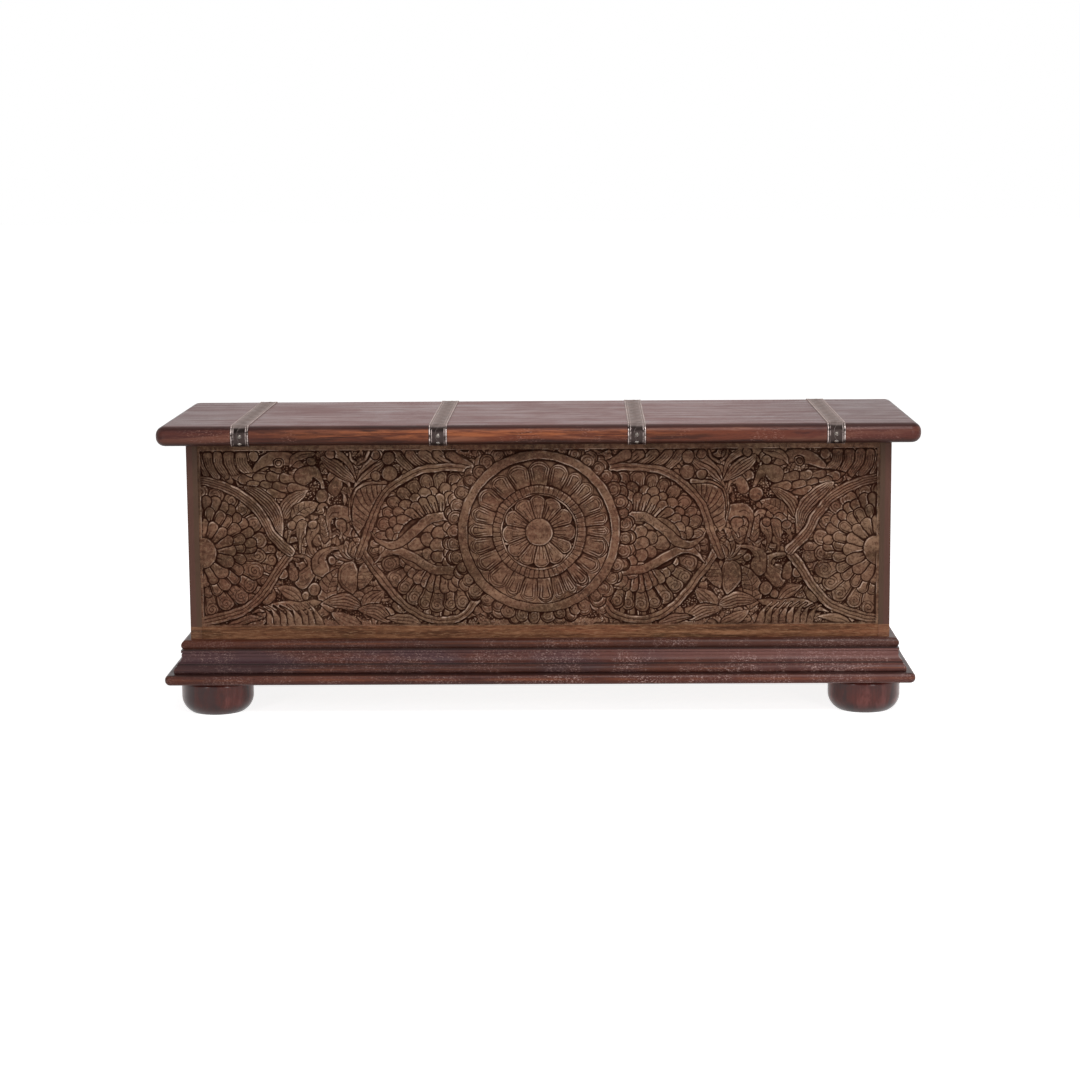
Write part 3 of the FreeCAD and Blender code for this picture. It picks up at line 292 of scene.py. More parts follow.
def lid_zones(g, base):
    """Orange wear with a painted highlight along the middle of the nose, painted shade under its arris and
    along its foot.
    """
    x, _, z = g.axes()
    low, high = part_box("lid_board_front")
    streak = g.range(g.noise(14.0, 7.0, 0.7, 0.0, (1.0, 8.0, 20.0), (0.7, 0.0, 0.0)), 0.42, 0.58)
    band = g.noise(4.5, 6.0, 0.62, 0.6, (1.0, 9.0, 9.0), (0.4, 0.0, 0.0))
    nicks = g.product(g.range(g.noise(200.0, 4.0, 0.7, 0.0, (1.0, 3.0, 5.0)), 0.56, 0.64),
                      g.range(g.noise(9.0, 4.0, 0.6), 0.50, 0.60, 0.0, 0.7))
    nose = g.near(z, (low.z + high.z) / 2 + 3 * MM, 3 * MM, 11 * MM)
    return g.layers(
        base,
        (band, 0.52, 0.62, 0.0, 0.75, (40, 20, 16)),
        (band, 0.38, 0.48, 0.5, 0.0, (142, 92, 72)),
        (nicks, (190, 142, 126)),
        (z, high.z - 1.0 * MM, high.z - 0.3 * MM, 0.0, 0.75, (114, 24, 10)),
        # Orange wear along the middle of the nose, which also stands for a painted highlight there
        (g.product(g.near(x, -0.10, 0.10, 0.46), nose, streak, 0.85), (152, 88, 56)),
        (g.away(x, -0.05), 0.30, 0.66, 0.0, 0.55, (66, 36, 38)),
        # Painted shade: a near-black band just under the nose's arris
        (g.near(z, high.z - 3.0 * MM, 1.5 * MM, 4.5 * MM, 0.85), (44, 16, 13)),
        # Painted shade along the foot of the nose, where it turns under
        (z, low.z + 2 * MM, low.z + 10 * MM, 0.85, 0.0, (44, 22, 15)))


def foot_zones(g, base):
    """Uneven stain: dark clouds, paler upright streaks of scuffs with a painted highlight, and darker towards
    the floor.
    """
    z = g.axes()[2]
    cloud = g.noise(34.0, 5.0, 0.6, 0.5, (1.0, 1.0, 0.3))
    return g.layers(
        base,
        (cloud, 0.50, 0.64, 0.0, 0.75, (48, 24, 24)),
        # Paler upright streaks: scuffs, and a painted highlight down the foot's side
        (cloud, 0.36, 0.48, 0.55, 0.0, (122, 66, 60)),
        # Darker towards the floor
        (z, 4 * MM, 22 * MM, 0.75, 0.0, (36, 16, 15)))


def plinth_zones(g, base):
    """Rubbed crests with a painted highlight, dark joints, a painted highlight on the ogee, and a fine
    pinkish bloom of flecks with painted sheen and light, growing towards the right.
    """
    x, _, z = g.axes()
    grit = g.noise(260.0, 5.0, 0.75, 0.0, (1.0, 1.6, 2.2))
    # Pale flecks of wear, thickening towards the right as a painted sheen
    flecks_and_sheen = g.product(g.range(grit, 0.54, 0.60), g.range(g.noise(14.0, 5.0, 0.65), 0.42, 0.58),
                      g.range(x, -0.5, 0.6, 0.34, 1.0))
    foot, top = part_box("plinth_foot_bead_front")[0].z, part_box("plinth_ogee_front")[1].z
    cool = g.product(g.range(g.noise(5.0, 4.0, 0.6, 0.0, (1.0, 3.0, 3.0)), 0.42, 0.58),
                     g.range(x, -0.3, 0.5, 0.9, 0.4), g.span(z, foot, top, 1 * MM))
    # Painted highlight on the ogee's swell, stronger towards the right
    painted_ogee_highlight = g.product(g.near(z, top - 8 * MM, 4 * MM, 12 * MM), g.range(x, -0.2, 0.6, 0.1, 0.6))
    base = g.layers(
        base,
        (grit, 0.38, 0.46, 0.6, 0.0, (36, 20, 20)),
        (cool, (60, 39, 43)),
        (flecks_and_sheen, (190, 158, 150)),
        (painted_ogee_highlight, (132, 92, 86)),
        # Painted light: the right side of the plinth lighter and pinker
        (x, 0.10, 0.62, 0.0, 0.34, (104, 66, 62)))
    patchy = g.range(g.noise(6.0, 6.0, 0.65, 0.0, (1.0, 6.0, 6.0), (0.3, 0.0, 0.0)), 0.42, 0.62, 0.0, 0.45)
    for node, share, reach in (("plinth_bead_front", 0.62, 2.2), ("plinth_foot_bead_front", 0.45, 1.6),
                               ("base_rail_front", 0.55, 3.0)):
        low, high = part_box(node)
        # Rubbed crests of the courses, which also stand for a painted highlight on them
        worn_and_lit_crest = g.near(z, low.z + share * (high.z - low.z), 0.4 * MM, reach * MM)
        base = g.mix(g.product(worn_and_lit_crest, patchy), base, (134, 76, 48))
    for node, left, right in (("plinth_bead_front", 0.40, 0.55), ("plinth_foot_bead_front", 0.35, 0.0)):
        low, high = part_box(node)
        course = g.product(g.span(z, low.z, high.z), g.range(x, 0.0, 0.6, left, right))
        base = g.mix(course, base, (48, 22, 10))
    for node in ("plinth_bead_front", "plinth_ogee_front", "plinth_foot_bead_front"):
        base = g.mix(g.near(z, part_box(node)[0].z, 0.7 * MM, 2.2 * MM, 0.75), base, (34, 18, 16))
    return base


def plank(g):
    """The plain band along the foot of the chest's face, its grain along it."""
    grain = g.noise(5.0, 6.0, 0.6, 0.3, (1.4, 1.0, 26.0))
    tone = g.noise(6.0, 5.0, 0.6, 0.8, (1.0, 1.0, 4.0))
    fine = g.noise(22.0, 5.0, 0.7, 0.0, (3.0, 1.0, 20.0))
    return g.layers(
        g.ramp(grain, (0.34, (68, 41, 27)), (0.52, (105, 69, 48)), (0.70, (140, 98, 70))),
        (tone, 0.50, 0.66, 0.0, 0.6, (134, 84, 60)),
        (tone, 0.34, 0.46, 0.6, 0.0, (70, 52, 34)),
        (fine, 0.53, 0.62, 0.0, 0.6, (58, 34, 22)),
        (fine, 0.38, 0.47, 0.5, 0.0, (150, 112, 84)))


def end_zones(g, base):
    """The end boards' front edges: a purplish outer corner, an olive strip inside it, the band below."""
    x, y, z = g.axes()
    face = g.range(y, PANEL_FRONT + 2 * MM, PANEL_FRONT + 3 * MM, 1.0, 0.0)
    corner = g.range(g.away(x, 0.0), PANEL_HALF + 7 * MM, PANEL_HALF + 10 * MM)
    return g.layers(
        base,
        (g.product(face, 0.6), g.mix(corner, (72, 52, 38), (82, 51, 44))),
        (g.product(face, g.range(z, FIELD_LOW - 2 * MM, FIELD_LOW, 1.0, 0.0)), plank(g)))


def carved_wood():
    """Weathered brown wood: dirt and painted shade in the cuts, rubbed rims with a painted highlight, painted
    shadow at the field's ends, scratched faces, patches and plain borders.
    """
    g = Graph(bpy.data.materials.new("carved_wood"))
    x, _, z = g.axes()
    dirt_and_shade = g.attribute("dirt_and_shade")
    streaks = g.noise(4.0, 8.0, 0.62, 0.5, (1.0, 10.0, 10.0))
    patches = g.noise(9.0, 4.0, 0.55, 0.8)
    red = g.noise(6.0, 4.0, 0.55, 0.6, offset=(3.1, 0.0, 1.7))
    pale = g.noise(7.5, 5.0, 0.6, 0.5, offset=(1.3, 0.0, 5.2))
    grit = g.noise(420.0, 4.0, 0.7)
    mottle = g.noise(170.0, 4.0, 0.65, 0.4)
    # Painted shadow at both ends of the field, beside the half rosettes
    painted_shadow_at_ends = g.product(g.range(g.away(x, 0.0), 0.515, 0.58), g.near(z, 0.395, 0.025, 0.075, 0.55))
    scratches = g.math("MAXIMUM", g.contours(34.0, 2.2, 0.016), g.contours(85.0, 1.2, 0.030))
    broken = g.range(g.noise(26.0, 3.0, 0.6), 0.44, 0.60, 0.0, 0.8)
    # Dirt in the cuts, which also stands for painted shade in them and in the deeper hollows
    settled_and_shaded = g.product(g.range(dirt_and_shade, 0.03, 0.58), g.range(patches, 0.30, 0.62, 0.84, 1.0))
    # Rims rubbed pale, which also stand for a painted highlight on the raised edges
    worn = g.product(g.range(g.attribute("rim"), 0.25, 0.95), g.range(g.noise(60.0, 5.0, 0.7), 0.42, 0.58),
                     g.range(pale, 0.38, 0.58, 0.3, 0.85))
    base = g.layers(
        g.ramp(streaks, (0.30, (68, 43, 30)), (0.50, (104, 73, 57)), (0.72, (141, 107, 85))),
        (patches, 0.46, 0.66, 0.0, 0.55, (70, 55, 38)),
        (red, 0.46, 0.70, 0.0, 0.4, (110, 68, 52)),
        (pale, 0.50, 0.68, 0.0, 0.55, (136, 108, 86)),
        (grit, 0.55, 0.75, 0.0, 0.35, (52, 35, 27)),
        (mottle, 0.51, 0.62, 0.0, 0.55, (56, 32, 20)),
        (mottle, 0.38, 0.48, 0.42, 0.0, (140, 110, 86)),
        (painted_shadow_at_ends, (42, 26, 17)),
        (g.product(scratches, broken), (40, 25, 18)),
        (z, FIELD_LOW, FIELD_LOW - 1 * MM, plank(g)),
        (settled_and_shaded, (37, 13, 4)),
        (worn, (192, 163, 144)))
    height = g.blend((streaks, 0.6), (grit, 0.4), (scratches, -0.5))
    return g.show(g.node("BsdfPrincipled", Base_Color=base, Roughness=g.range(dirt_and_shade, 0.0, 0.6, 0.50, 0.85),
                         Normal=g.bump(height, 0.45 * MM, 0.8), Specular_IOR_Level=0.08))


def metal(name, dark, light, worn, roughness, foot=None):
    """Hammered, tarnished iron with bright rubbed edges. A strap has painted shade below the lid's arris,
    near-black just under it, and a rubbed embossing.
    """
    g = Graph(bpy.data.materials.new(name))
    cloud = g.noise(60.0, 5.0, 0.6)
    scratched = g.range(g.noise(150.0, 4.0, 0.6), 0.35, 0.6)
    base = g.mix(g.range(cloud, 0.35, 0.68), dark, light)
    rubbed = g.edges(0.8 * MM, 0.02, 0.25)
    if foot:
        z = g.axes()[2]
        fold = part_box("lid_board_front")[1].z - 6.5 * MM
        # Painted shade on the strap's front below the lid's arris, near-black just under the arris
        base = g.layers(
            base,
            (z, fold, fold + 5 * MM, 0.88, 0.0, foot),
            (g.near(z, fold, 2 * MM, 6 * MM, 0.8), (18, 13, 12)))
        rubbed = g.math("MAXIMUM", rubbed, g.range(g.attribute("rub"), 0.35, 0.95))
    base = g.mix(g.product(rubbed, scratched), base, worn)
    rough = g.range(cloud, 0.3, 0.7, roughness - 0.1, roughness + 0.15)
    height = g.blend((cloud, 1.0), (g.cells(420.0), 0.4))
    return g.show(g.node("BsdfPrincipled", Base_Color=base, Metallic=1.0, Roughness=rough,
                         Specular_Tint=(0.84, 0.74, 0.71, 1.0), Normal=g.bump(height, 0.15 * MM, 0.6)))


def studio():
    """The floor, the world and the lamps."""
    half = FLOOR_SIZE / 2
    mesh = bpy.data.meshes.new("floor")
    mesh.from_pydata([(-half, -half, 0), (half, -half, 0), (half, half, 0), (-half, half, 0)], [],
                     [(0, 1, 2, 3)])
    floor = add("floor", mesh)
    g = Graph(bpy.data.materials.new("floor_paper"))
    paper = g.node("BsdfDiffuse", Color=(FLOOR_GREY, FLOOR_GREY, FLOOR_GREY, 1.0))
    glow = g.node("Emission", Color=WHITE, Strength=g.product(g.seen(), FLOOR_GLOW))
    mesh.materials.append(g.show(g.node("AddShader", numbered={0: paper, 1: glow})))

    g = Graph(bpy.data.worlds.new("studio"), "World")
    level = g.range(g.seen(), 0.0, 1.0, WORLD_FILL, 1.0)
    bpy.context.scene.world = g.show(g.node("Background", Color=WHITE, Strength=level))

    for name, place, width, height, power in LAMPS:
        data = bpy.data.lights.new(name, "AREA")
        data.shape = "RECTANGLE"
        data.size = width
        data.size_y = height
        data.energy = power
        made = add(name, data)
        made.location = place
        made.rotation_euler = (LAMP_AIM - Vector(place)).to_track_quat("-Z", "Y").to_euler()


def camera():
    """The photograph's camera: its place, its aim and its focal length."""
    data = bpy.data.cameras.new("camera")
    data.sensor_width = SENSOR_WIDTH
    data.lens = FOCAL_PIXELS * SENSOR_WIDTH / IMAGE_SIZE
    data.clip_end = CAMERA_REACH
    made = add("camera", data)
    made.matrix_world = Matrix.Translation(CAMERA_PLACE)
    for angle, axis in ((-CAMERA_YAW, "Z"), (math.pi / 2 - CAMERA_PITCH, "X"), (CAMERA_ROLL, "Z")):
        made.matrix_world @= Matrix.Rotation(angle, 4, axis)
    bpy.context.scene.camera = made


# Carved field, in the photograph's pixels, u to the right and v down: left half and medallion
MEDALLION = (539.1, 532.1)
SIDE_CIRCLE = (445.0, 545.5)
END_ROSETTE = (199.5, 552.5)
GROUND = -4.2
MOAT = -3.9
MOAT_WIDTH = 0.5
TILT = 0.2
RIB_WIDTH = 0.26
VEIN_WIDTH = 0.18
FIELD_TOP_V = 450.0
FIELD_BOTTOM_V = 625.0
FILL_U, FILL_V = 196.0, 448.0
FILL_COLUMNS, FILL_ROWS = 25, 19
FILL_PITCH_U, FILL_PITCH_V = 11.5, 9.6
STIPPLE_PITCH = 2.4

# Drift of the carver's lines and heights: its waves' lengths and its reach
WAVES = (52.0, 31.0, 17.0, 9.0)
HALF_DRIFT = 0.45
WHOLE_DRIFT = 0.3
HEIGHT_DRIFT = 0.16


def smooth(value):
    """A value between 0 and 1, eased at both ends."""
    value = np.clip(value, 0.0, 1.0)
    return value * value * (3.0 - 2.0 * value)


def stripe(phase, width):
    """1 on the lines where the phase is a whole number, 0 between them."""
    return 1.0 - smooth(np.abs(phase - np.round(phase)) / width)


def curve(points, steps=5):
    """Points along a smooth line through the given ones."""
    p = np.array([points[0], *points, points[-1]], float)
    if len(points) == 2:
        return np.array(points, float)
    out = []
    for a, b, c, d in zip(p, p[1:], p[2:], p[3:]):
        for t in np.linspace(0.0, 1.0, steps, endpoint=False):
            out.append(0.5 * (2 * b + (c - a) * t + (2 * a - 5 * b + 4 * c - d) * t ** 2
                              + (3 * b - 3 * c + d - a) * t ** 3))
    out.append(p[-2])
    return np.array(out)


PROFILES = {
    "round": lambda q: 0.66 + 0.34 * q ** 0.8,
    "leaf": lambda q: np.sin(np.pi * np.clip(q, 0, 1) ** 0.8) ** 0.75,
    "taper": lambda q: np.clip(1.0 - q, 0.0, 1.0) ** 0.7,
    "tail": lambda q: 0.15 + 0.85 * smooth(q / 0.3),
    "comma": lambda q: 0.22 + 0.78 * smooth((q - 0.25) / 0.75) ** 0.8,
    "plume": lambda q: (0.25 + 0.75 * smooth(q / 0.45)
                        * np.sqrt(np.clip(1.0 - ((q - 0.45) / 0.56) ** 2, 0.0, 1.0))),
    "swell": lambda q: 0.35 + 0.65 * np.sin(np.pi * np.clip(q, 0, 1)),
    "band": lambda q: np.ones_like(q),
}


class Carving:
    """A low relief as heights over a grid: each motif is laid over those before it, in a cut outline."""

    def __init__(self, u, v, seed):
        self.u, self.v = u, v
        self.rng = np.random.default_rng(seed)
        self.height = GROUND * (0.15 + 0.85 * smooth(np.minimum(v - FIELD_TOP_V, FIELD_BOTTOM_V - v) / 9.0))
        self.ground = np.ones(u.shape, bool)
        self.columns = u[u.shape[0] // 2]
        self.rows = v[:, u.shape[1] // 2]

    def area(self, points, reach):
        """The part of the grid round the points, or None if they lie off it."""
        points = np.asarray(points, float)
        reach += 4.0
        low, high = points.min(0) - reach, points.max(0) + reach
        across = np.nonzero((self.columns > low[0]) & (self.columns < high[0]))[0]
        down = np.nonzero((self.rows > low[1]) & (self.rows < high[1]))[0]
        if not len(across) or not len(down):
            return None
        return slice(down[0], down[-1] + 1), slice(across[0], across[-1] + 1)

    def lay(self, area, distance, top, lines=0.0, bevel=1.5, crown=0.7, deep=1.0):
        """A form inside an outline at distance 0, with a lean of its own, and a moat cut round it."""
        height = self.height[area]
        lean_u, lean_v = self.rng.uniform(-TILT, TILT, 2)
        u, v = self.u[area], self.v[area]
        inside = distance < 0.0
        if not inside.any():
            return
        slope = lean_u * (u - u[inside].mean()) + lean_v * (v - v[inside].mean())
        body = top + np.clip(slope, -0.9, 0.6) - 0.9 * (1.0 - smooth(-distance / bevel))
        body = body - crown * (1.0 - smooth(-distance / 5.0)) - lines
        floor = height + (MOAT - height) * self.rng.uniform(0.45, 1.0) * deep
        outside = np.minimum(height, floor + (height - floor) * smooth((distance - 0.1) / MOAT_WIDTH))
        wall = smooth(0.5 - distance / 0.9)
        self.height[area] = np.where(distance < MOAT_WIDTH + 0.2, outside + (body - outside) * wall, height)
        self.ground[area] &= distance > MOAT_WIDTH

    def line_to(self, area, points):
        """Distance to a line, the share of its length reached, and the distance to its left or right."""
        u, v = self.u[area], self.v[area]
        best = np.full(u.shape, 1e9)
        share = np.zeros(u.shape)
        side = np.zeros(u.shape)
        lengths = np.hypot(*(points[1:] - points[:-1]).T)
        total = lengths.sum()
        start = 0.0
        for a, b, length in zip(points, points[1:], lengths):
            du, dv = (b - a) / length
            along = np.clip((u - a[0]) * du + (v - a[1]) * dv, 0.0, length)
            away = np.hypot(u - a[0] - along * du, v - a[1] - along * dv)
            closer = away < best
            best[closer] = away[closer]
            share[closer] = ((start + along) / total)[closer]
            side[closer] = (du * (v - a[1]) - dv * (u - a[0]))[closer]
            start += length
        return best, share, side

    def leaf(self, points, half, profile="leaf", top=-0.8, ribs=0, rib_to=0.85, veins=0, lean=1.0, comb=0,
             insets=(), depth=1.0, nerve=False, curl=0.0, bevel=1.3, crown=0.9, lift=0.0):
        """A leaf, petal, stem or band along a line, with the cuts inside it."""
        points = curve(points)
        area = self.area(points, half)
        if area is None:
            return
        best, share, side = self.line_to(area, points)
        width = half * PROFILES[profile](share)
        distance = best - width
        cuts = np.zeros(best.shape)
        body = smooth((-distance - 0.6) / 0.8)
        if ribs:
            across = side / np.maximum(width, 0.5) * (ribs + 1) / 2.0 + (ribs + 1) % 2 * 0.5
            cuts = np.maximum(cuts, stripe(across, RIB_WIDTH) * (share > 0.0) * (share < rib_to) * body)
        for count, slant in ((veins, np.abs(side)), (comb, side)):
            if count:
                cuts = np.maximum(cuts, stripe(share * count - lean * slant / half, VEIN_WIDTH) * body)
        if nerve:
            cuts = np.maximum(cuts, (1.0 - smooth(np.abs(side) / 0.8)) * (share < 0.95) * body)
        for inset in insets:
            cuts = np.maximum(cuts, 0.8 - 0.8 * smooth(np.abs(distance + inset) / 0.75))
        if curl:
            along = points[-1] - points[-2]
            du, dv = self.u[area] - points[-1][0], self.v[area] - points[-1][1]
            turn = np.arctan2(dv * along[0] - du * along[1], du * along[0] + dv * along[1]) / (2 * math.pi)
            away = np.hypot(du, dv)
            spiral = stripe(away / curl - turn + 0.35, 0.22) * (away < 0.86 * half)
            cuts = np.maximum(cuts, spiral * body)
        deep = 0.3 + 0.7 * smooth(share / 0.8) if lift else 1.0
        self.lay(area, distance, top, cuts * depth + lift * (1.0 - share), bevel, crown, deep=deep)

    def ball(self, u, v, radius, top=-0.4, dome=1.6):
        """A round berry or boss."""
        area = self.area([(u, v)], radius)
        if area is None:
            return
        away = np.hypot(self.u[area] - u, self.v[area] - v)
        self.lay(area, away - radius, top, dome * (away / radius) ** 2.6, 1.0, 0.0)

    def ring(self, centre, inner, outer, top=-0.5, notches=0, crown=0.4):
        """A flat ring, with notches across it."""
        area = self.area([centre], outer)
        if area is None:
            return
        du, dv = self.u[area] - centre[0], self.v[area] - centre[1]
        distance = np.abs(np.hypot(du, dv) - (inner + outer) / 2) - (outer - inner) / 2
        cuts = stripe(np.arctan2(dv, du) / (2 * math.pi) * notches, 0.22) if notches else 0.0
        self.lay(area, distance, top, cuts, 1.3, crown)

    def petals(self, centre, inner, outer, count, half, first=0.0, spread=360.0, wobble=0.0, seed=1, **cuts):
        """A ring of petals, whose round tips reach the outer radius."""
        rng = np.random.default_rng(seed)
        for number in range(count):
            angle = math.radians(first + spread * number / count + rng.uniform(-wobble, wobble))
            tip = outer - half * rng.uniform(0.80, 1.20)
            across, up = math.cos(angle), math.sin(angle)
            points = [(centre[0] + r * across, centre[1] - r * up) for r in (inner, tip)]
            self.leaf(points, half * rng.uniform(0.88, 1.12), "round", lift=1.9, **cuts)

    def fans(self, centre, inner, outer, count, first, sag, insets, depth, vary, seed, ribs=0):
        """A ring filled with petals of uneven widths, which touch at their sides and have rounded ends."""
        area = self.area([centre], outer)
        if area is None:
            return
        rng = np.random.default_rng(seed)
        du, dv = self.u[area] - centre[0], centre[1] - self.v[area]
        away = np.hypot(du, dv)
        angle = np.degrees(np.arctan2(dv, du))
        widths = 1.0 + rng.uniform(-vary, vary, count)
        widths *= 360.0 / widths.sum()
        for width, end in zip(widths, np.cumsum(widths)):
            half = width / 2
            off = (angle - first - end + half + 180.0) % 360.0 - 180.0
            across = off / half
            tip = outer - sag * np.abs(np.clip(across, -1, 1)) ** 2.2 + rng.uniform(-0.4, 0.4)
            beside = np.maximum(np.radians(np.abs(off) - half) * away, away - tip)
            part = np.where(np.abs(off) < 2.5 * half, np.maximum(beside, inner - away), 9.0)
            out = (away - inner) / (outer - inner)
            cuts = np.zeros(away.shape)
            for inset in insets:
                line = 1.0 - smooth(np.abs(beside + inset) / 0.95)
                cuts = np.maximum(cuts, line * smooth(2.0 * out))
            if ribs:
                line = stripe(across * (ribs + 1) / 2.0 + (ribs + 1) % 2 * 0.5, RIB_WIDTH)
                cuts = np.maximum(cuts, line * (out < 0.6))
            sink = 1.3 * np.clip(1.0 - out, 0.0, 1.0)
            self.lay(area, part, -0.6, cuts * depth * (part < -0.4) + sink)

    def hollow(self, u, v, radius):
        """A pocket sunk to the ground."""
        area = self.area([(u, v)], 1.3 * radius)
        if area is None:
            return
        du, dv = self.u[area] - u, self.v[area] - v
        edge = radius * (1.0 + 0.22 * np.sin(3.0 * np.arctan2(dv, du) + u))
        share = smooth((edge - np.hypot(du, dv)) / 2.0)
        self.height[area] += (GROUND - self.height[area]) * share
        self.ground[area] |= share > 0.5

    def stipple(self, pitch, seed):
        """Punched dots all over the ground."""
        rng = np.random.default_rng(seed)
        u0, u1, v0, v1 = self.u.min(), self.u.max(), self.v.min(), self.v.max()
        across, down = int((u1 - u0) / pitch), int((v1 - v0) / pitch)
        dots = np.zeros(self.u.shape)
        for row in range(down):
            for column in range(across):
                u = u0 + (column + rng.uniform(0.1, 0.9)) * pitch
                v = v0 + (row + rng.uniform(0.1, 0.9)) * pitch
                area = self.area([(u, v)], 1.0)
                if area is None:
                    continue
                away = np.hypot(self.u[area] - u, self.v[area] - v)
                dots[area] = np.maximum(dots[area], 1.0 - smooth(away / (0.42 * pitch)))
        self.height += 1.3 * (dots - 0.4) * self.ground


def filler(work, seed):
    """Leaves that fill the field behind the main motifs, edge to edge."""
    rng = np.random.default_rng(seed)
    for row in range(FILL_ROWS):
        for column in range(FILL_COLUMNS):
            u = FILL_U + (column + rng.uniform(0.1, 0.9)) * FILL_PITCH_U
            v = FILL_V + (row + rng.uniform(0.1, 0.9)) * FILL_PITCH_V
            angle = rng.uniform(0.0, 2 * math.pi)
            bend = rng.uniform(-0.8, 0.8)
            reach = rng.uniform(9.0, 17.0)
            tip = (u + reach * math.cos(angle + bend), v + reach * math.sin(angle + bend))
            mid = (u + 0.5 * reach * math.cos(angle), v + 0.5 * reach * math.sin(angle))
            work.leaf([(u, v), mid, tip], rng.uniform(5.0, 8.0), ("comma", "leaf", "plume")[rng.integers(3)],
                      top=rng.uniform(-2.3, -1.0), ribs=rng.integers(0, 4), veins=rng.integers(0, 2) * 6,
                      rib_to=0.9, lift=1.0)


# Petals hanging from the top border: points, half width and ribs
FRINGE = [
    ([(207, 476), (201.5, 464), (200.5, 456)], 4.4, 2),
    ([(217, 477), (209.5, 465), (208.5, 456)], 5.0, 3),
    ([(227, 477), (219.5, 465), (218.5, 456)], 5.0, 3),
    ([(237, 477), (230, 465), (229, 456)], 5.2, 3),
    ([(253, 476), (243, 466), (241, 456)], 6.2, 4),
]
TOP_LEAVES = [
    ([(413, 471), (404, 463), (397, 455)], 5.4, 3),
    ([(427, 469), (417, 462), (410, 455)], 5.4, 3),
    ([(441, 468), (431, 461), (424, 455)], 5.4, 3),
    ([(455, 468), (445, 461), (437, 455)], 5.4, 2),
    ([(470, 466), (460, 462), (451, 456)], 5.6, 0),
]

# Round forms and sunk places between the leaves: middle and radius
BERRIES = [
    (254.2, 456.8, 5.4), (311.2, 461.6, 4.8), (331.2, 454.2, 5.0), (376.3, 455.2, 5.0), (389.5, 458.8, 6.4),
    (375.7, 475.8, 5.4), (390.2, 473.7, 7.6), (322.0, 496.0, 6.8), (312.0, 525.0, 4.6), (291.6, 526.4, 4.8),
    (281.8, 575.2, 5.2), (313.7, 590.5, 6.6), (304.0, 596.0, 4.4), (331.0, 560.0, 4.4),
]
POCKETS = [
    (317, 490, 13), (305, 503, 8), (338, 501, 8), (299, 588, 16), (288, 571, 10), (313, 603, 9),
    (347, 572, 9), (300, 520, 8), (333, 553, 8), (283, 545, 7),
]

# Tips of the petals in the ear under the fringe
EAR = [
    (243, 479.5), (257, 477.5), (251, 484.5), (271, 477), (264, 485.5), (258, 491), (284, 478.5),
    (277, 486.5), (271, 493), (292, 488),
]

# Scales in the side lens: where their columns stand, and the lens's axis and tip
SCALE_COLUMNS = (399.0, 410.0, 421.0, 432.0, 443.0, 453.0)
SCALE_PITCH = 12.4
LENS_AXIS = 545.0
LENS_TIP = 396.0

# Rings of petals: inner and outer radius, count, half width, and the petals' own cuts
END_RINGS = [
    (54.0, 76.0, 38, 6.0, dict(first=4.0, top=-1.6, crown=1.3, wobble=1.6, curl=3.2, seed=11)),
    (42.0, 67.5, 23, 8.4, dict(first=-3.0, top=-0.9, insets=(2.6,), curl=3.0, crown=1.1, wobble=2.0,
                               seed=12)),
    (40.0, 58.0, 9, 5.8, dict(first=3.0, spread=88.0, top=-0.9, crown=1.3, wobble=2.0, seed=15)),
    (28.0, 47.0, 25, 5.5, dict(first=5.0, top=-0.5, crown=1.5, insets=(2.2,), wobble=1.8, seed=13)),
    (12.0, 35.5, 17, 5.9, dict(top=-0.3, crown=1.2, ribs=1, rib_to=0.6, depth=0.8, wobble=2.0, seed=14)),
]
SIDE_RINGS = [
    (58.0, 76.0, 46, 5.0, dict(first=185.0, top=-2.0, crown=1.2, insets=(2.0,), wobble=1.8, seed=20)),
    (50.0, 72.8, 10, 6.8, dict(first=72.0, spread=112.0, top=-1.5, insets=(2.4,), ribs=2, crown=1.4,
                               wobble=1.6, seed=21)),
    (44.0, 67.5, 10, 7.8, dict(first=186.0, spread=128.0, top=-1.5, insets=(2.4,), curl=3.0, crown=1.4,
                               wobble=1.8, seed=24)),
    (40.0, 62.0, 9, 6.4, dict(first=79.0, spread=100.0, top=-1.1, ribs=3, rib_to=0.9, crown=1.4,
                              wobble=1.5, seed=25)),
    (24.0, 54.0, 10, 5.7, dict(first=74.0, spread=108.0, ribs=2, depth=1.3, wobble=1.0, seed=22)),
    (20.0, 48.5, 13, 4.9, dict(first=184.0, spread=124.0, ribs=1, depth=1.3, wobble=1.0, seed=23)),
]
BORDER_RINGS = [
    (78.0, 97.0, 38, 7.2, dict(first=7.0, top=-1.6, crown=1.4, insets=(2.4,), wobble=1.2, seed=30)),
    (74.0, 92.5, 41, 6.9, dict(first=4.0, top=-1.0, insets=(2.6,), curl=3.0, crown=1.4, wobble=1.2,
                               seed=31)),
]

# Ribs cut the whole length of a leaf
FULL = dict(rib_to=1.0, depth=1.1)


def end_group(work):
    """The half rosette at the end of the field, inside its pointed, fluted band."""
    for inner, outer, count, half, cuts in END_RINGS:
        work.petals(END_ROSETTE, inner, outer, count, half, **cuts)
    work.ball(END_ROSETTE[0] + 1.0, END_ROSETTE[1] + 1.0, 15.2, top=-0.2, dome=0.5)
    lower_band = [(288, 556), (277, 571), (266.5, 587), (255, 601.5), (238, 612.5), (218, 619), (194, 622)]
    work.leaf(lower_band, 4.8, "band", top=-0.7, ribs=2, rib_to=1.0, crown=0.1)
    work.leaf([(244, 486), (262, 499), (275, 514), (281, 538)], 8.6, top=-0.9, ribs=5, rib_to=1.0, depth=1.3,
              crown=0.3)
    upper_band = [(193, 480.5), (214, 483.5), (233, 491), (250, 503), (262, 518), (272, 535), (289, 552)]
    work.leaf(upper_band, 5.0, "band", top=-0.3, ribs=3, crown=0.1, **FULL)


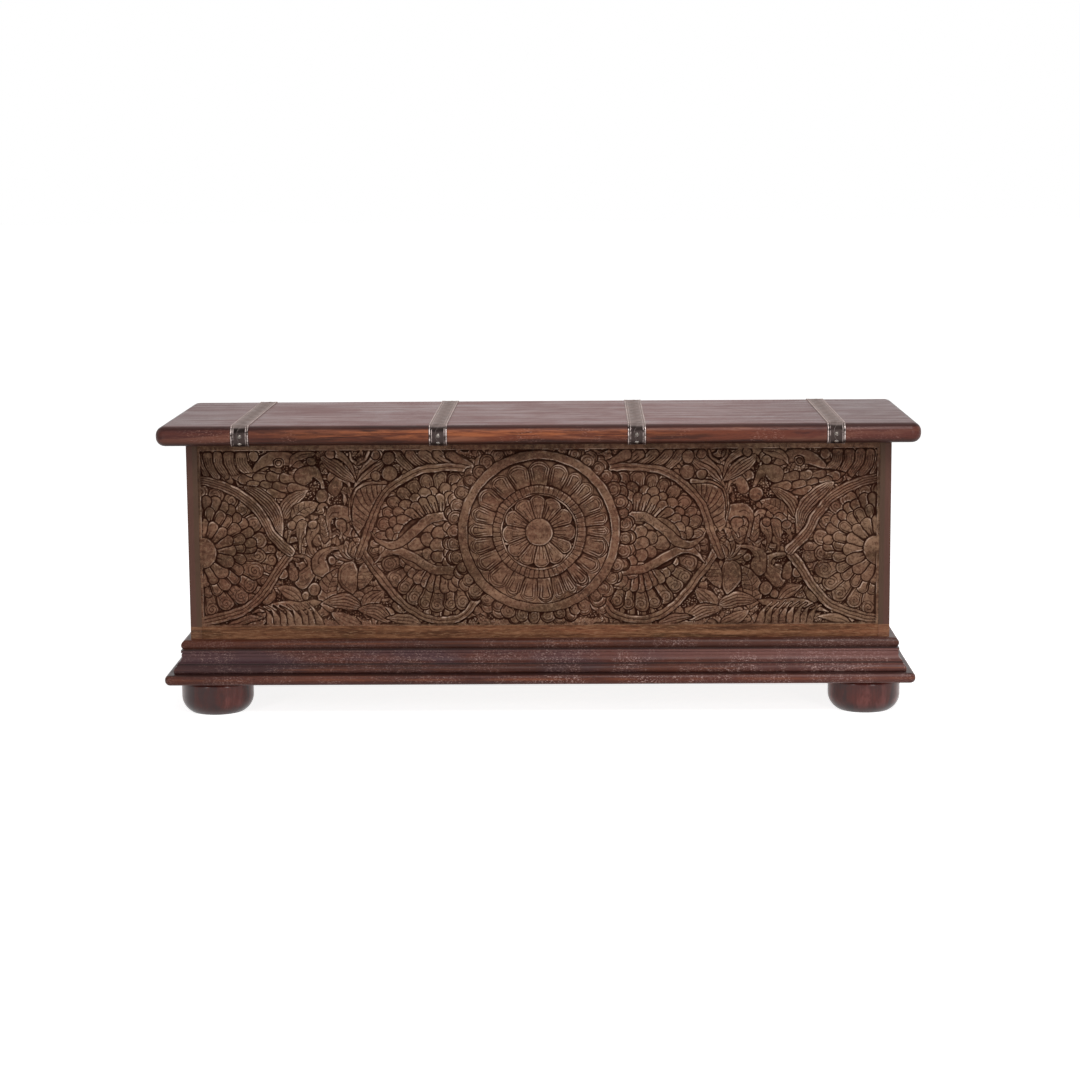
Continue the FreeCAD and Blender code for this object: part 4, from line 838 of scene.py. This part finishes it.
def side_group(work):
    """The big side lens: rows of petals round an almond of scales between two crossing bands."""
    work.ring(SIDE_CIRCLE, 4.0, 77.0, top=-3.0, crown=0.0)
    for inner, outer, count, half, cuts in SIDE_RINGS:
        work.petals(SIDE_CIRCLE, inner, outer, count, half, **cuts)
    work.leaf([(LENS_TIP, 547), (420, 545), (452, 544)], 26.0, top=-2.6, bevel=0.8, crown=0.0)
    rng = np.random.default_rng(26)
    for column, left in enumerate(SCALE_COLUMNS):
        for row in range(-3, 4):
            v = LENS_AXIS + (row + (0.0 if column % 2 else 0.5)) * SCALE_PITCH + rng.uniform(-1.4, 1.4)
            if abs(v - LENS_AXIS) < 3.0 + 0.62 * (left - LENS_TIP):
                shift = rng.uniform(-1.5, 1.5)
                work.leaf([(left + 15.0, v), (left + 5.5 + shift, v + shift)], rng.uniform(6.2, 7.4), "round",
                          top=-1.1, crown=0.8, lift=1.2)
    below = [(360, 549), (371, 565), (382, 580), (393, 594.5), (407, 608.5), (426.5, 619), (445, 621.5),
             (464, 614.5), (475, 602), (486, 590)]
    work.leaf(below, 3.9, "band", top=-0.6, ribs=1, rib_to=1.0, crown=0.1)
    above = [(478, 473), (462, 469), (441, 468), (414, 473), (393, 486.5), (378.5, 503), (370.5, 522),
             (365, 540), (358, 557)]
    work.leaf(above, 3.9, "band", top=-0.5, ribs=1, rib_to=1.0, crown=0.1)
    upper = [(371, 532), (377, 540.5), (388, 546), (400, 542.7), (410, 535), (418, 528.4), (427, 521),
             (437, 517.4), (458, 516.5)]
    lower = [(374, 565), (382, 556), (390, 550.5), (400, 551.6), (409, 556), (418, 561), (429.5, 568.2),
             (440, 571), (458, 571)]
    work.leaf(lower, 4.7, "tail", top=-0.6, crown=0.3)
    work.leaf(upper, 4.7, "tail", top=-0.4, crown=0.3)


def medallion(work):
    """The round medallion at the middle of the field."""
    centre = MEDALLION
    for inner, outer, count, half, cuts in BORDER_RINGS:
        work.petals(centre, inner, outer, count, half, **cuts)
    work.ring(centre, 71.4, 81.2, top=-0.3, crown=0.5)
    work.ring(centre, 46.0, 71.8, top=-1.9, crown=0.1)
    work.fans(centre, 46.0, 70.6, 23, first=6.0, sag=7.5, insets=(2.2, 4.7), depth=1.2, vary=0.32, seed=32)
    work.ring(centre, 37.4, 46.8, top=-0.6, notches=56, crown=0.6)
    work.ring(centre, 36.6, 38.4, top=-0.7, crown=0.1)
    work.fans(centre, 12.0, 36.8, 12, first=-16.0, sag=5.0, insets=(2.2,), depth=1.0, vary=0.16, seed=33,
              ribs=2)
    work.ball(*centre, 13.6, top=-0.2, dome=0.5)


def foliage(work):
    """The leaves, stems and scrolls between the circles."""
    for u, v, radius in POCKETS:
        work.hollow(u, v, radius)
    for points, half, ribs in FRINGE + TOP_LEAVES:
        work.leaf(points, half, "round", top=-1.0, ribs=ribs, rib_to=0.9)
    leaf = work.leaf
    # Ear of petals under the fringe, their tips to the left
    leaf([(300, 487), (268, 483), (232, 477)], 11.0, top=-1.6)
    for u, v in EAR:
        leaf([(u + 13.0, v + 2.2), (u, v)], 4.9, "round", crown=0.8, lift=1.2)
    # Broad leaves between the wing and the berries
    leaf([(281, 521), (286, 508), (296, 498), (308, 490)], 7.6, top=-0.7, ribs=4, **FULL)
    leaf([(292, 520), (302, 510), (318, 503)], 8.0, top=-0.9, veins=6, nerve=True)
    leaf([(287, 543), (290, 532), (299, 523)], 7.4, "comma", top=-1.0, ribs=2)
    leaf([(300, 552), (300, 538), (303, 527)], 6.6, "comma", top=-1.2, ribs=2)
    leaf([(312, 553), (309, 541), (313, 528)], 6.2, "comma", top=-1.4, ribs=1)
    leaf([(323, 545), (325, 531), (320, 517)], 6.0, top=-1.7, veins=5)
    # Bird-like scroll with its eye
    leaf([(255, 469), (266, 462), (279, 458.5), (292, 461), (304, 470)], 7.4, "swell", crown=0.6)
    leaf([(316, 453), (303, 455), (294, 460), (290, 468)], 5.0, top=-0.7, ribs=1)
    # Commas: a round head at the end of a curved tail
    leaf([(324, 494), (321, 481), (313, 472), (302.5, 477.5)], 8.4, "comma", top=-0.5, crown=1.3)
    leaf([(352, 497), (348, 484), (341, 479), (334.5, 490)], 6.2, "comma", top=-0.7, crown=1.2)
    leaf([(330, 538), (328, 522), (334, 512), (345, 515)], 8.6, "comma", top=-0.7, ribs=1, crown=1.2)
    leaf([(340, 538), (343, 530), (341, 524)], 6.0, "comma", top=-1.1, ribs=1)
    leaf([(292, 556), (305, 557), (312, 568), (301, 581)], 8.6, "comma", top=-0.6, crown=1.2, insets=(3.6,))
    leaf([(344, 547), (328, 550), (318, 559), (320.5, 570)], 8.0, "comma", top=-0.5, crown=1.2, ribs=1)
    leaf([(281, 560), (290, 566), (292, 577)], 5.6, "comma", top=-1.3, crown=1.0)
    leaf([(270, 584), (272, 594), (265.5, 600)], 5.2, "comma", top=-0.9, crown=1.0)
    # Pair of long leaves that meet in a V, with a cusp between
    leaf([(322, 457), (335, 467), (349, 478), (356, 484)], 7.0, ribs=4, **FULL)
    leaf([(386, 461), (374, 468.5), (362, 479.5), (354, 490)], 6.6, top=-0.9, ribs=3, **FULL)
    leaf([(336, 453), (347, 461), (353, 472), (357, 483)], 4.4, "taper", top=-0.5, ribs=1)
    leaf([(380, 455), (369, 463.5), (361, 472), (356, 483)], 4.4, "taper", top=-0.5, ribs=1)
    leaf([(350, 452), (351.5, 459), (358.3, 464.5)], 1.6, "band")
    leaf([(369, 452), (366, 459), (358.3, 464.5)], 1.6, "band")
    # Feathered leaf against the side circle
    leaf([(388, 484), (373, 490), (363, 501), (359, 514), (358, 534)], 13.5, top=-0.7, comb=11, lean=-1.3)
    leaf([(386, 483), (369, 483.5), (357, 490), (351.5, 503), (352, 522)], 2.4, "taper", top=-0.5)
    # Flower-like leaves at the middle of the side foliage
    for angle, reach in ((215, 20), (190, 22), (165, 22), (140, 20), (115, 19), (92, 17), (70, 15)):
        turn = math.radians(angle)
        tip = (353 + reach * math.cos(turn), 559 - reach * math.sin(turn))
        leaf([(353, 559), tip], 5.4, top=-0.7, ribs=2, **FULL)
    # Upright feathered leaf, the shield beside it and the leaf under the lens
    leaf([(330, 612), (326, 595), (330, 580), (339, 568)], 9.6, veins=8, nerve=True)
    leaf([(352, 562), (347, 576), (352, 596)], 11.0, top=-0.6, insets=(3.2,), crown=1.2)
    leaf([(372, 560), (366, 573), (358, 590)], 8.6, top=-0.9, veins=8, comb=8, lean=1.1, depth=0.8)
    leaf([(364, 616), (370, 602), (384, 592)], 9.6, ribs=3, rib_to=1.0, nerve=True)
    leaf([(300, 603), (290, 594), (276, 588)], 6.6, top=-1.6, ribs=2)
    # Leaves along the bottom
    leaf([(360, 608), (342, 602), (322, 603)], 8.0, ribs=4, **FULL)
    leaf([(390, 622), (375, 612), (356, 610)], 7.6, ribs=4, **FULL)
    leaf([(360, 626), (345, 622), (330, 612)], 7.0, top=-0.7, ribs=3, rib_to=1.0, depth=0.8)
    leaf([(420, 624), (402, 620), (384, 619)], 5.4, top=-1.0, ribs=2, rib_to=1.0)
    leaf([(322, 602), (300, 606), (272, 607), (250, 615)], 5.0, top=-0.9)
    for number in range(8):
        left = 258.0 + 7.0 * number
        points = [(left, 607.5 - 0.5 * number), (left + 7.0, 612.0), (left + 12.0, 626.0)]
        leaf(points, 4.6, "comma", top=-0.9, crown=0.8)
    leaf([(226, 627), (244, 621), (262, 619)], 4.6, top=-1.0, ribs=1)
    for u, v, radius in BERRIES:
        work.ball(u, v, radius)
    work.ball(278.9, 463.6, 5.2, top=-1.8, dome=0.2)
    work.ball(278.9, 463.6, 3.0)


def drift(u, v, seed, reach):
    """A slow, small wander of the carver's lines."""
    rng = np.random.default_rng(seed)
    moved = np.zeros(u.shape)
    for wave in WAVES:
        angle, phase = rng.uniform(0.0, 2 * math.pi, 2)
        along = u * math.cos(angle) + v * math.sin(angle)
        moved += reach * (wave / WAVES[0]) ** 0.6 * np.sin(along * 2 * math.pi / wave + phase)
    return moved


def half_field(u, v, seed):
    """The left half of the field without the medallion, its lines a little unsteady."""
    work = Carving(u + drift(u, v, seed + 1, HALF_DRIFT), v + drift(u, v, seed + 2, HALF_DRIFT), seed)
    filler(work, seed)
    foliage(work)
    end_group(work)
    side_group(work)
    return work


def panel_grid(low, high, start, end, step):
    """Even steps across the field, with one more line beside it and one at the panel's edge, both sides."""
    count = round((end - start) / step)
    return np.concatenate(([low, start - step], np.linspace(start, end, count + 1), [end + step, high]))


def blurred(values, radius):
    """The values averaged over their neighbours, by a Gaussian of that radius in grid steps."""
    reach = int(3 * radius)
    weight = np.exp(-np.arange(-reach, reach + 1) ** 2 / (2 * radius * radius))
    weight /= weight.sum()
    for axis in (0, 1):
        padded = np.pad(values, [(reach, reach) if axis == own else (0, 0) for own in (0, 1)], mode="edge")
        steps = np.arange(values.shape[axis])
        values = sum(np.take(padded, steps + number, axis) * share for number, share in enumerate(weight))
    return values


def to_photo(x, z):
    """Where a point on the panel's face, in millimetres, lies in the photograph."""
    u = FACE_U + (x - FACE_SHEAR * (z - FACE_MIDDLE)) / FACE_MM_U
    v = FACE_V - (z - FACE_Z + FACE_TURN * x) / FACE_MM_V
    return u, v


def panel_heights(xs, zs):
    """The panel's face: flat at its borders, carved inside them, its right half a mirror of the left."""
    x, z = np.meshgrid(xs, zs)
    middle = len(xs) // 2
    u, v = to_photo(x, z)
    whole = Carving(u + drift(u, v, 41, WHOLE_DRIFT), v + drift(u, v, 42, WHOLE_DRIFT), 43)
    for columns, sign, seed in ((slice(0, middle + 1), 1, 3), (slice(middle, None), -1, 8)):
        u, v = to_photo(sign * (x[:, columns] - FACE_CENTRE) + FACE_CENTRE, z[:, columns])
        order = slice(None, None, sign)
        half = half_field(u[:, order], v[:, order], seed)
        whole.height[:, columns] = half.height[:, order]
        whole.ground[:, columns] = half.ground[:, order]
    medallion(whole)
    whole.stipple(STIPPLE_PITCH, 44)
    whole.height += HEIGHT_DRIFT * drift(whole.u, whole.v, 45, 1.0)
    inward = np.minimum(np.minimum(x - xs[2], xs[-3] - x), np.minimum(z - zs[2], zs[-3] - z))
    return RELIEF * whole.height * smooth(inward / (FIELD_SLOPE / MM))


def grid_quads(index):
    """The faces between the points of a grid, each as the numbers of its four corners."""
    corners = (index[:-1, :-1], index[:-1, 1:], index[1:, 1:], index[1:, :-1])
    return np.dstack(corners).reshape(-1, 4).tolist()


def new_piece(name, points, faces, shades):
    """A smooth mesh in the scene, with shades for its first points and 0 for the others."""
    mesh = bpy.data.meshes.new(name)
    mesh.from_pydata(points.tolist(), [], faces)
    mesh.polygons.foreach_set("use_smooth", np.ones(len(mesh.polygons), bool))
    for key, values in shades.items():
        padded = np.zeros(len(points), np.float32)
        padded[:values.size] = values.ravel()
        mesh.attributes.new(key, "FLOAT", "POINT").data.foreach_set("value", padded)
    return add(name, mesh)


def panel_piece(name, xs, zs, height, normals, shades, back):
    """One length of the front panel as a closed board: carved face, flat sides and back."""
    x, z = np.meshgrid(xs, zs)
    front = np.dstack((x, PANEL_FRONT / MM - height, z)).reshape(-1, 3)
    corners = np.array([(xs[i], back, zs[j]) for j, i in ((0, 0), (0, -1), (-1, -1), (-1, 0))])
    index = np.arange(height.size).reshape(height.shape)
    low_left, low_right, high_right, high_left = range(height.size, height.size + 4)
    sides = {
        (0, 0, -1): [*index[0, ::-1].tolist(), low_left, low_right],
        (0, 0, 1): [*index[-1, :].tolist(), high_right, high_left],
        (-1, 0, 0): [*index[:, 0].tolist(), high_left, low_left],
        (1, 0, 0): [*index[::-1, -1].tolist(), low_right, high_right],
        (0, 1, 0): [low_left, high_left, high_right, low_right],
    }
    quads = grid_quads(index)
    points = np.concatenate((front, corners)) * MM
    piece = new_piece(name, points, quads + list(sides.values()), shades)
    mesh = piece.data
    loop_vertex = np.empty(len(mesh.loops), np.int32)
    mesh.loops.foreach_get("vertex_index", loop_vertex)
    loop_normals = np.concatenate((normals.reshape(-1, 3), np.zeros((4, 3))))[loop_vertex]
    start = len(quads) * 4
    for facing, side in sides.items():
        loop_normals[start:start + len(side)] = facing
        start += len(side)
    mesh.normals_split_custom_set(loop_normals.tolist())
    return piece


def carved_panel(finish):
    """The carved front panel, in lengths that stand for the CAD panel."""
    low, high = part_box("front_panel")
    half = PANEL_HALF / MM
    inner = half - FIELD_SIDE / MM
    xs = panel_grid(-half, half, -inner, inner, GRID_STEP)
    zs = panel_grid(low.z / MM, high.z / MM, FIELD_LOW / MM, FIELD_HIGH / MM, GRID_STEP)
    height = panel_heights(xs, zs)
    slope_x = np.gradient(height, xs, axis=1)
    slope_z = np.gradient(height, zs, axis=0)
    normals = np.dstack((-slope_x, -np.ones_like(height), -slope_z))
    normals /= np.linalg.norm(normals, axis=2, keepdims=True)
    # Dirt with painted shade in the cuts and hollows, and rims for rubbed wear with a painted highlight
    sunk = np.clip((blurred(height, SUNK_RADIUS) - height) / SUNK_DEPTH, 0.0, 1.0)
    dirt_and_shade = np.clip((blurred(height, DIRT_AND_SHADE_RADIUS) - height) / DIRT_AND_SHADE_DEPTH + SUNK_SHARE * sunk, 0.0, 1.0)
    rim = np.clip((height - blurred(height, RIM_RADIUS)) / RIM_HEIGHT, 0.0, 1.0)
    for values in (dirt_and_shade, rim):
        for edge in (slice(0, 2), slice(-2, None)):
            values[edge, :] = 0.0
            values[:, edge] = 0.0
    rim[:RIMLESS_ROWS, :] = 0.0
    dirt_and_shade[:FAINTER_ROWS, :] *= np.linspace(0.2, 1.0, FAINTER_ROWS)[:, None]
    count = len(PANEL_LENGTHS)
    cuts = [number * (len(xs) - 1) // count for number in range(count + 1)]
    for name, first, last in zip(PANEL_LENGTHS, cuts, cuts[1:]):
        part = slice(first, last + 1)
        shades = {"dirt_and_shade": dirt_and_shade[:, part], "rim": rim[:, part]}
        piece = panel_piece(name, xs[part], zs, height[:, part], normals[:, part], shades, high.y / MM)
        piece.data.materials.append(finish)
        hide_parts("front_panel")
        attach(piece, "chest")


def strap_path(start, low, high):
    """Points round the lid at one strap, from tail to tail, with the way out of the wood at each."""
    radius = LID_NOSE
    corners = [(-1, 1, -90, -180), (-1, -1, 180, 90), (1, -1, 90, 0), (1, 1, 0, -90)]
    path = [(start, low.z, 0.0, -1.0)]
    for side, lift, first, last in corners:
        centre_y = (low.y + radius) if side < 0 else (high.y - radius)
        centre_z = low.z + radius if lift > 0 else high.z - radius
        for angle in np.radians(np.linspace(first, last, NOSE_STEPS + 1)):
            out_y, out_z = math.cos(angle), math.sin(angle)
            path.append((centre_y + radius * out_y, centre_z + radius * out_z, out_y, out_z))
        if (side, lift) == (-1, -1):
            for share in np.linspace(0.0, 1.0, TOP_STEPS + 1)[1:-1]:
                path.append((centre_y + share * (high.y - low.y - 2 * radius), high.z, 0.0, 1.0))
    path.append((-start, low.z, 0.0, -1.0))
    return np.array(path)


def ridge(away, flat, fall):
    """1 within the flat distance from a line, down to 0 over the fall beside it."""
    return 1.0 - smooth((away - flat) / fall)


def strap_heights(across, along):
    """The strap's embossing: an edge rib, a groove, an inner rib, and a vine with shells between them."""
    away = np.abs(across)
    height = STRAP_FIELD + (STRAP_HIGH - STRAP_FIELD) * ridge(np.abs(away - EDGE_RIB), 0.7, 0.8)
    height += 0.45 * ridge(np.abs(away - INNER_RIB), 0.4, 0.7)
    height -= 0.35 * ridge(np.abs(away - GROOVE), 0.1, 0.6)
    phase = along / VINE_PITCH * 2 * math.pi
    slope = VINE_SWING * 2 * math.pi / VINE_PITCH * np.cos(phase)
    vine = np.abs(across - VINE_SWING * np.sin(phase)) / np.sqrt(1.0 + slope ** 2)
    turn = np.round(along / VINE_PITCH * 2 - 0.5)
    centre = (turn + 0.5) * VINE_PITCH / 2
    side = np.where(turn % 2 == 0, -SHELL_SIDE, SHELL_SIDE)
    reach = np.hypot(along - centre, across - side)
    shell = ridge(np.abs(reach - SHELL_RADIUS), 0.3, 0.6) + ridge(reach, 1.2, 0.8)
    emboss = np.maximum(ridge(vine, 0.5, 0.7), 0.9 * np.clip(shell, 0.0, 1.0))
    return height + 0.42 * emboss * (away < VINE_FIELD)


def strap_piece(name, finish):
    """One iron strap, bent round the lid, with its embossed face."""
    low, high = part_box("lid_board_front")[0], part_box("lid_board_rear")[1]
    left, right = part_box(name)
    path = strap_path(low.y + STRAP_TAIL, low, high)
    along = np.concatenate(([0.0], np.cumsum(np.hypot(*np.diff(path[:, :2], axis=0).T)))) / MM
    half = (right.x - left.x) / 2 / MM
    columns = np.linspace(STRAP_BEVEL - half, half - STRAP_BEVEL, STRAP_COLUMNS)
    across, along = np.meshgrid(np.concatenate(([-half], columns, [half])), along)
    height = strap_heights(across, along)
    height[:, [0, -1]] -= STRAP_BEVEL
    middle = (left.x + right.x) / 2
    rise = height * MM
    y, z, out_y, out_z = path.T[:, :, None]
    outer = np.dstack((middle + across * MM, y + rise * out_y, z + rise * out_z))
    inner = np.column_stack((np.full(len(path), middle - half * MM), path[:, :2]))
    points = np.concatenate((outer.reshape(-1, 3), inner, inner + np.array((2 * half * MM, 0.0, 0.0))))
    index = np.arange(across.size).reshape(across.shape)
    under_left, under_right = np.arange(across.size, len(points)).reshape(2, -1)
    faces = [
        *grid_quads(index.T),
        *grid_quads(np.column_stack((index[:, 0], under_left))),
        *grid_quads(np.stack((index[:, -1], under_right))),
        *grid_quads(np.column_stack((under_left, under_right))),
        [*index[0].tolist(), int(under_right[0]), int(under_left[0])],
        [*index[-1, ::-1].tolist(), int(under_left[-1]), int(under_right[-1])],
    ]
    rub = np.clip((height - STRAP_FIELD) / (STRAP_HIGH - STRAP_FIELD), 0.0, 1.0)
    rub *= np.where(np.abs(across) < VINE_FIELD, 0.7, 1.0)
    piece = new_piece(name + "_embossed", points, faces, {"rub": rub})
    piece.data.set_sharp_from_angle(angle=math.radians(50))
    piece.data.materials.append(finish)
    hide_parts(name)
    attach(piece, "lid")


def dress_nodes():
    """Each CAD node's finish, with its grain along the length of the board."""
    inner_tones = ((128, 98, 72), (160, 128, 96), (186, 154, 118), (168, 126, 86), (200, 172, 140))
    plinth_tones = ((42, 20, 17), (72, 36, 28), (98, 56, 42), (84, 40, 26), (140, 104, 88))
    lid = wood("lid_wood", "x", (46, 20, 14), (88, 46, 33), (126, 76, 54), (104, 54, 38), (160, 104, 74),
               0.34, edge_wear=0.35, zones=lid_zones, shine=0.14, grain=1.5)
    ends = wood("box_wood_upright", "z", (52, 34, 26), (76, 52, 41), (98, 72, 58), (80, 56, 42),
                (122, 98, 82), 0.58, shine=0.2, zones=end_zones)
    long_box = wood("box_wood_long", "x", (56, 34, 26), (82, 52, 40), (106, 74, 58), (90, 48, 38),
                    (136, 106, 86), 0.55)
    inner, inner_cross = (
        wood(name, along, *inner_tones, 0.62, edge_wear=0.3)
        for name, along in (("inner_wood", "x"), ("inner_wood_cross", "y")))
    plinth, plinth_cross = (
        wood(name, along, *plinth_tones, 0.38, zones=plinth_zones, shine=0.18, speckle=0.6)
        for name, along in (("plinth_wood_long", "x"), ("plinth_wood_cross", "y")))
    feet = wood("foot_wood", "z", (48, 15, 11), (79, 28, 21), (103, 41, 30), (94, 37, 24), (150, 84, 66),
                0.34, coat=0.45, edge_wear=0.35, grain=0.4, shine=0.1, zones=foot_zones)
    carved = carved_wood()
    strap = metal("strap_iron", (96, 86, 83), (131, 118, 114), (186, 170, 165), 0.44, foot=(46, 37, 35))
    nail = metal("nail_iron", (70, 64, 60), (120, 112, 106), (216, 208, 202), 0.26)
    hinge = metal("hinge_iron", (60, 54, 50), (120, 112, 106), (180, 174, 170), 0.4)
    screws = metal("screw_steel", (120, 118, 116), (168, 166, 164), (214, 212, 210), 0.32)
    finishes = {
        "lid_board": lid, "lid_batten": inner_cross, "strap": strap, "strap_nails": nail,
        "front_panel": carved, "back_panel": long_box, "left_end_board": ends, "right_end_board": ends,
        "floor_board": inner, "base_rail": plinth, "base_rail_middle": inner_cross, "plinth": plinth,
        "foot": feet, "hinge": hinge,
    }
    for name, node in NODES.items():
        key = max((start for start in finishes if name.startswith(start)), key=len, default=None)
        finish = screws if name.endswith("screws") else finishes[key]
        if finish is plinth and name.endswith(("left", "right")):
            finish = plinth_cross
        for slot in node.material_slots:
            slot.material = finish
    carved_panel(carved)
    for name in NODES:
        if name.startswith("strap_") and name != "strap_nails":
            strap_piece(name, strap)


camera()
studio()
dress_nodes()
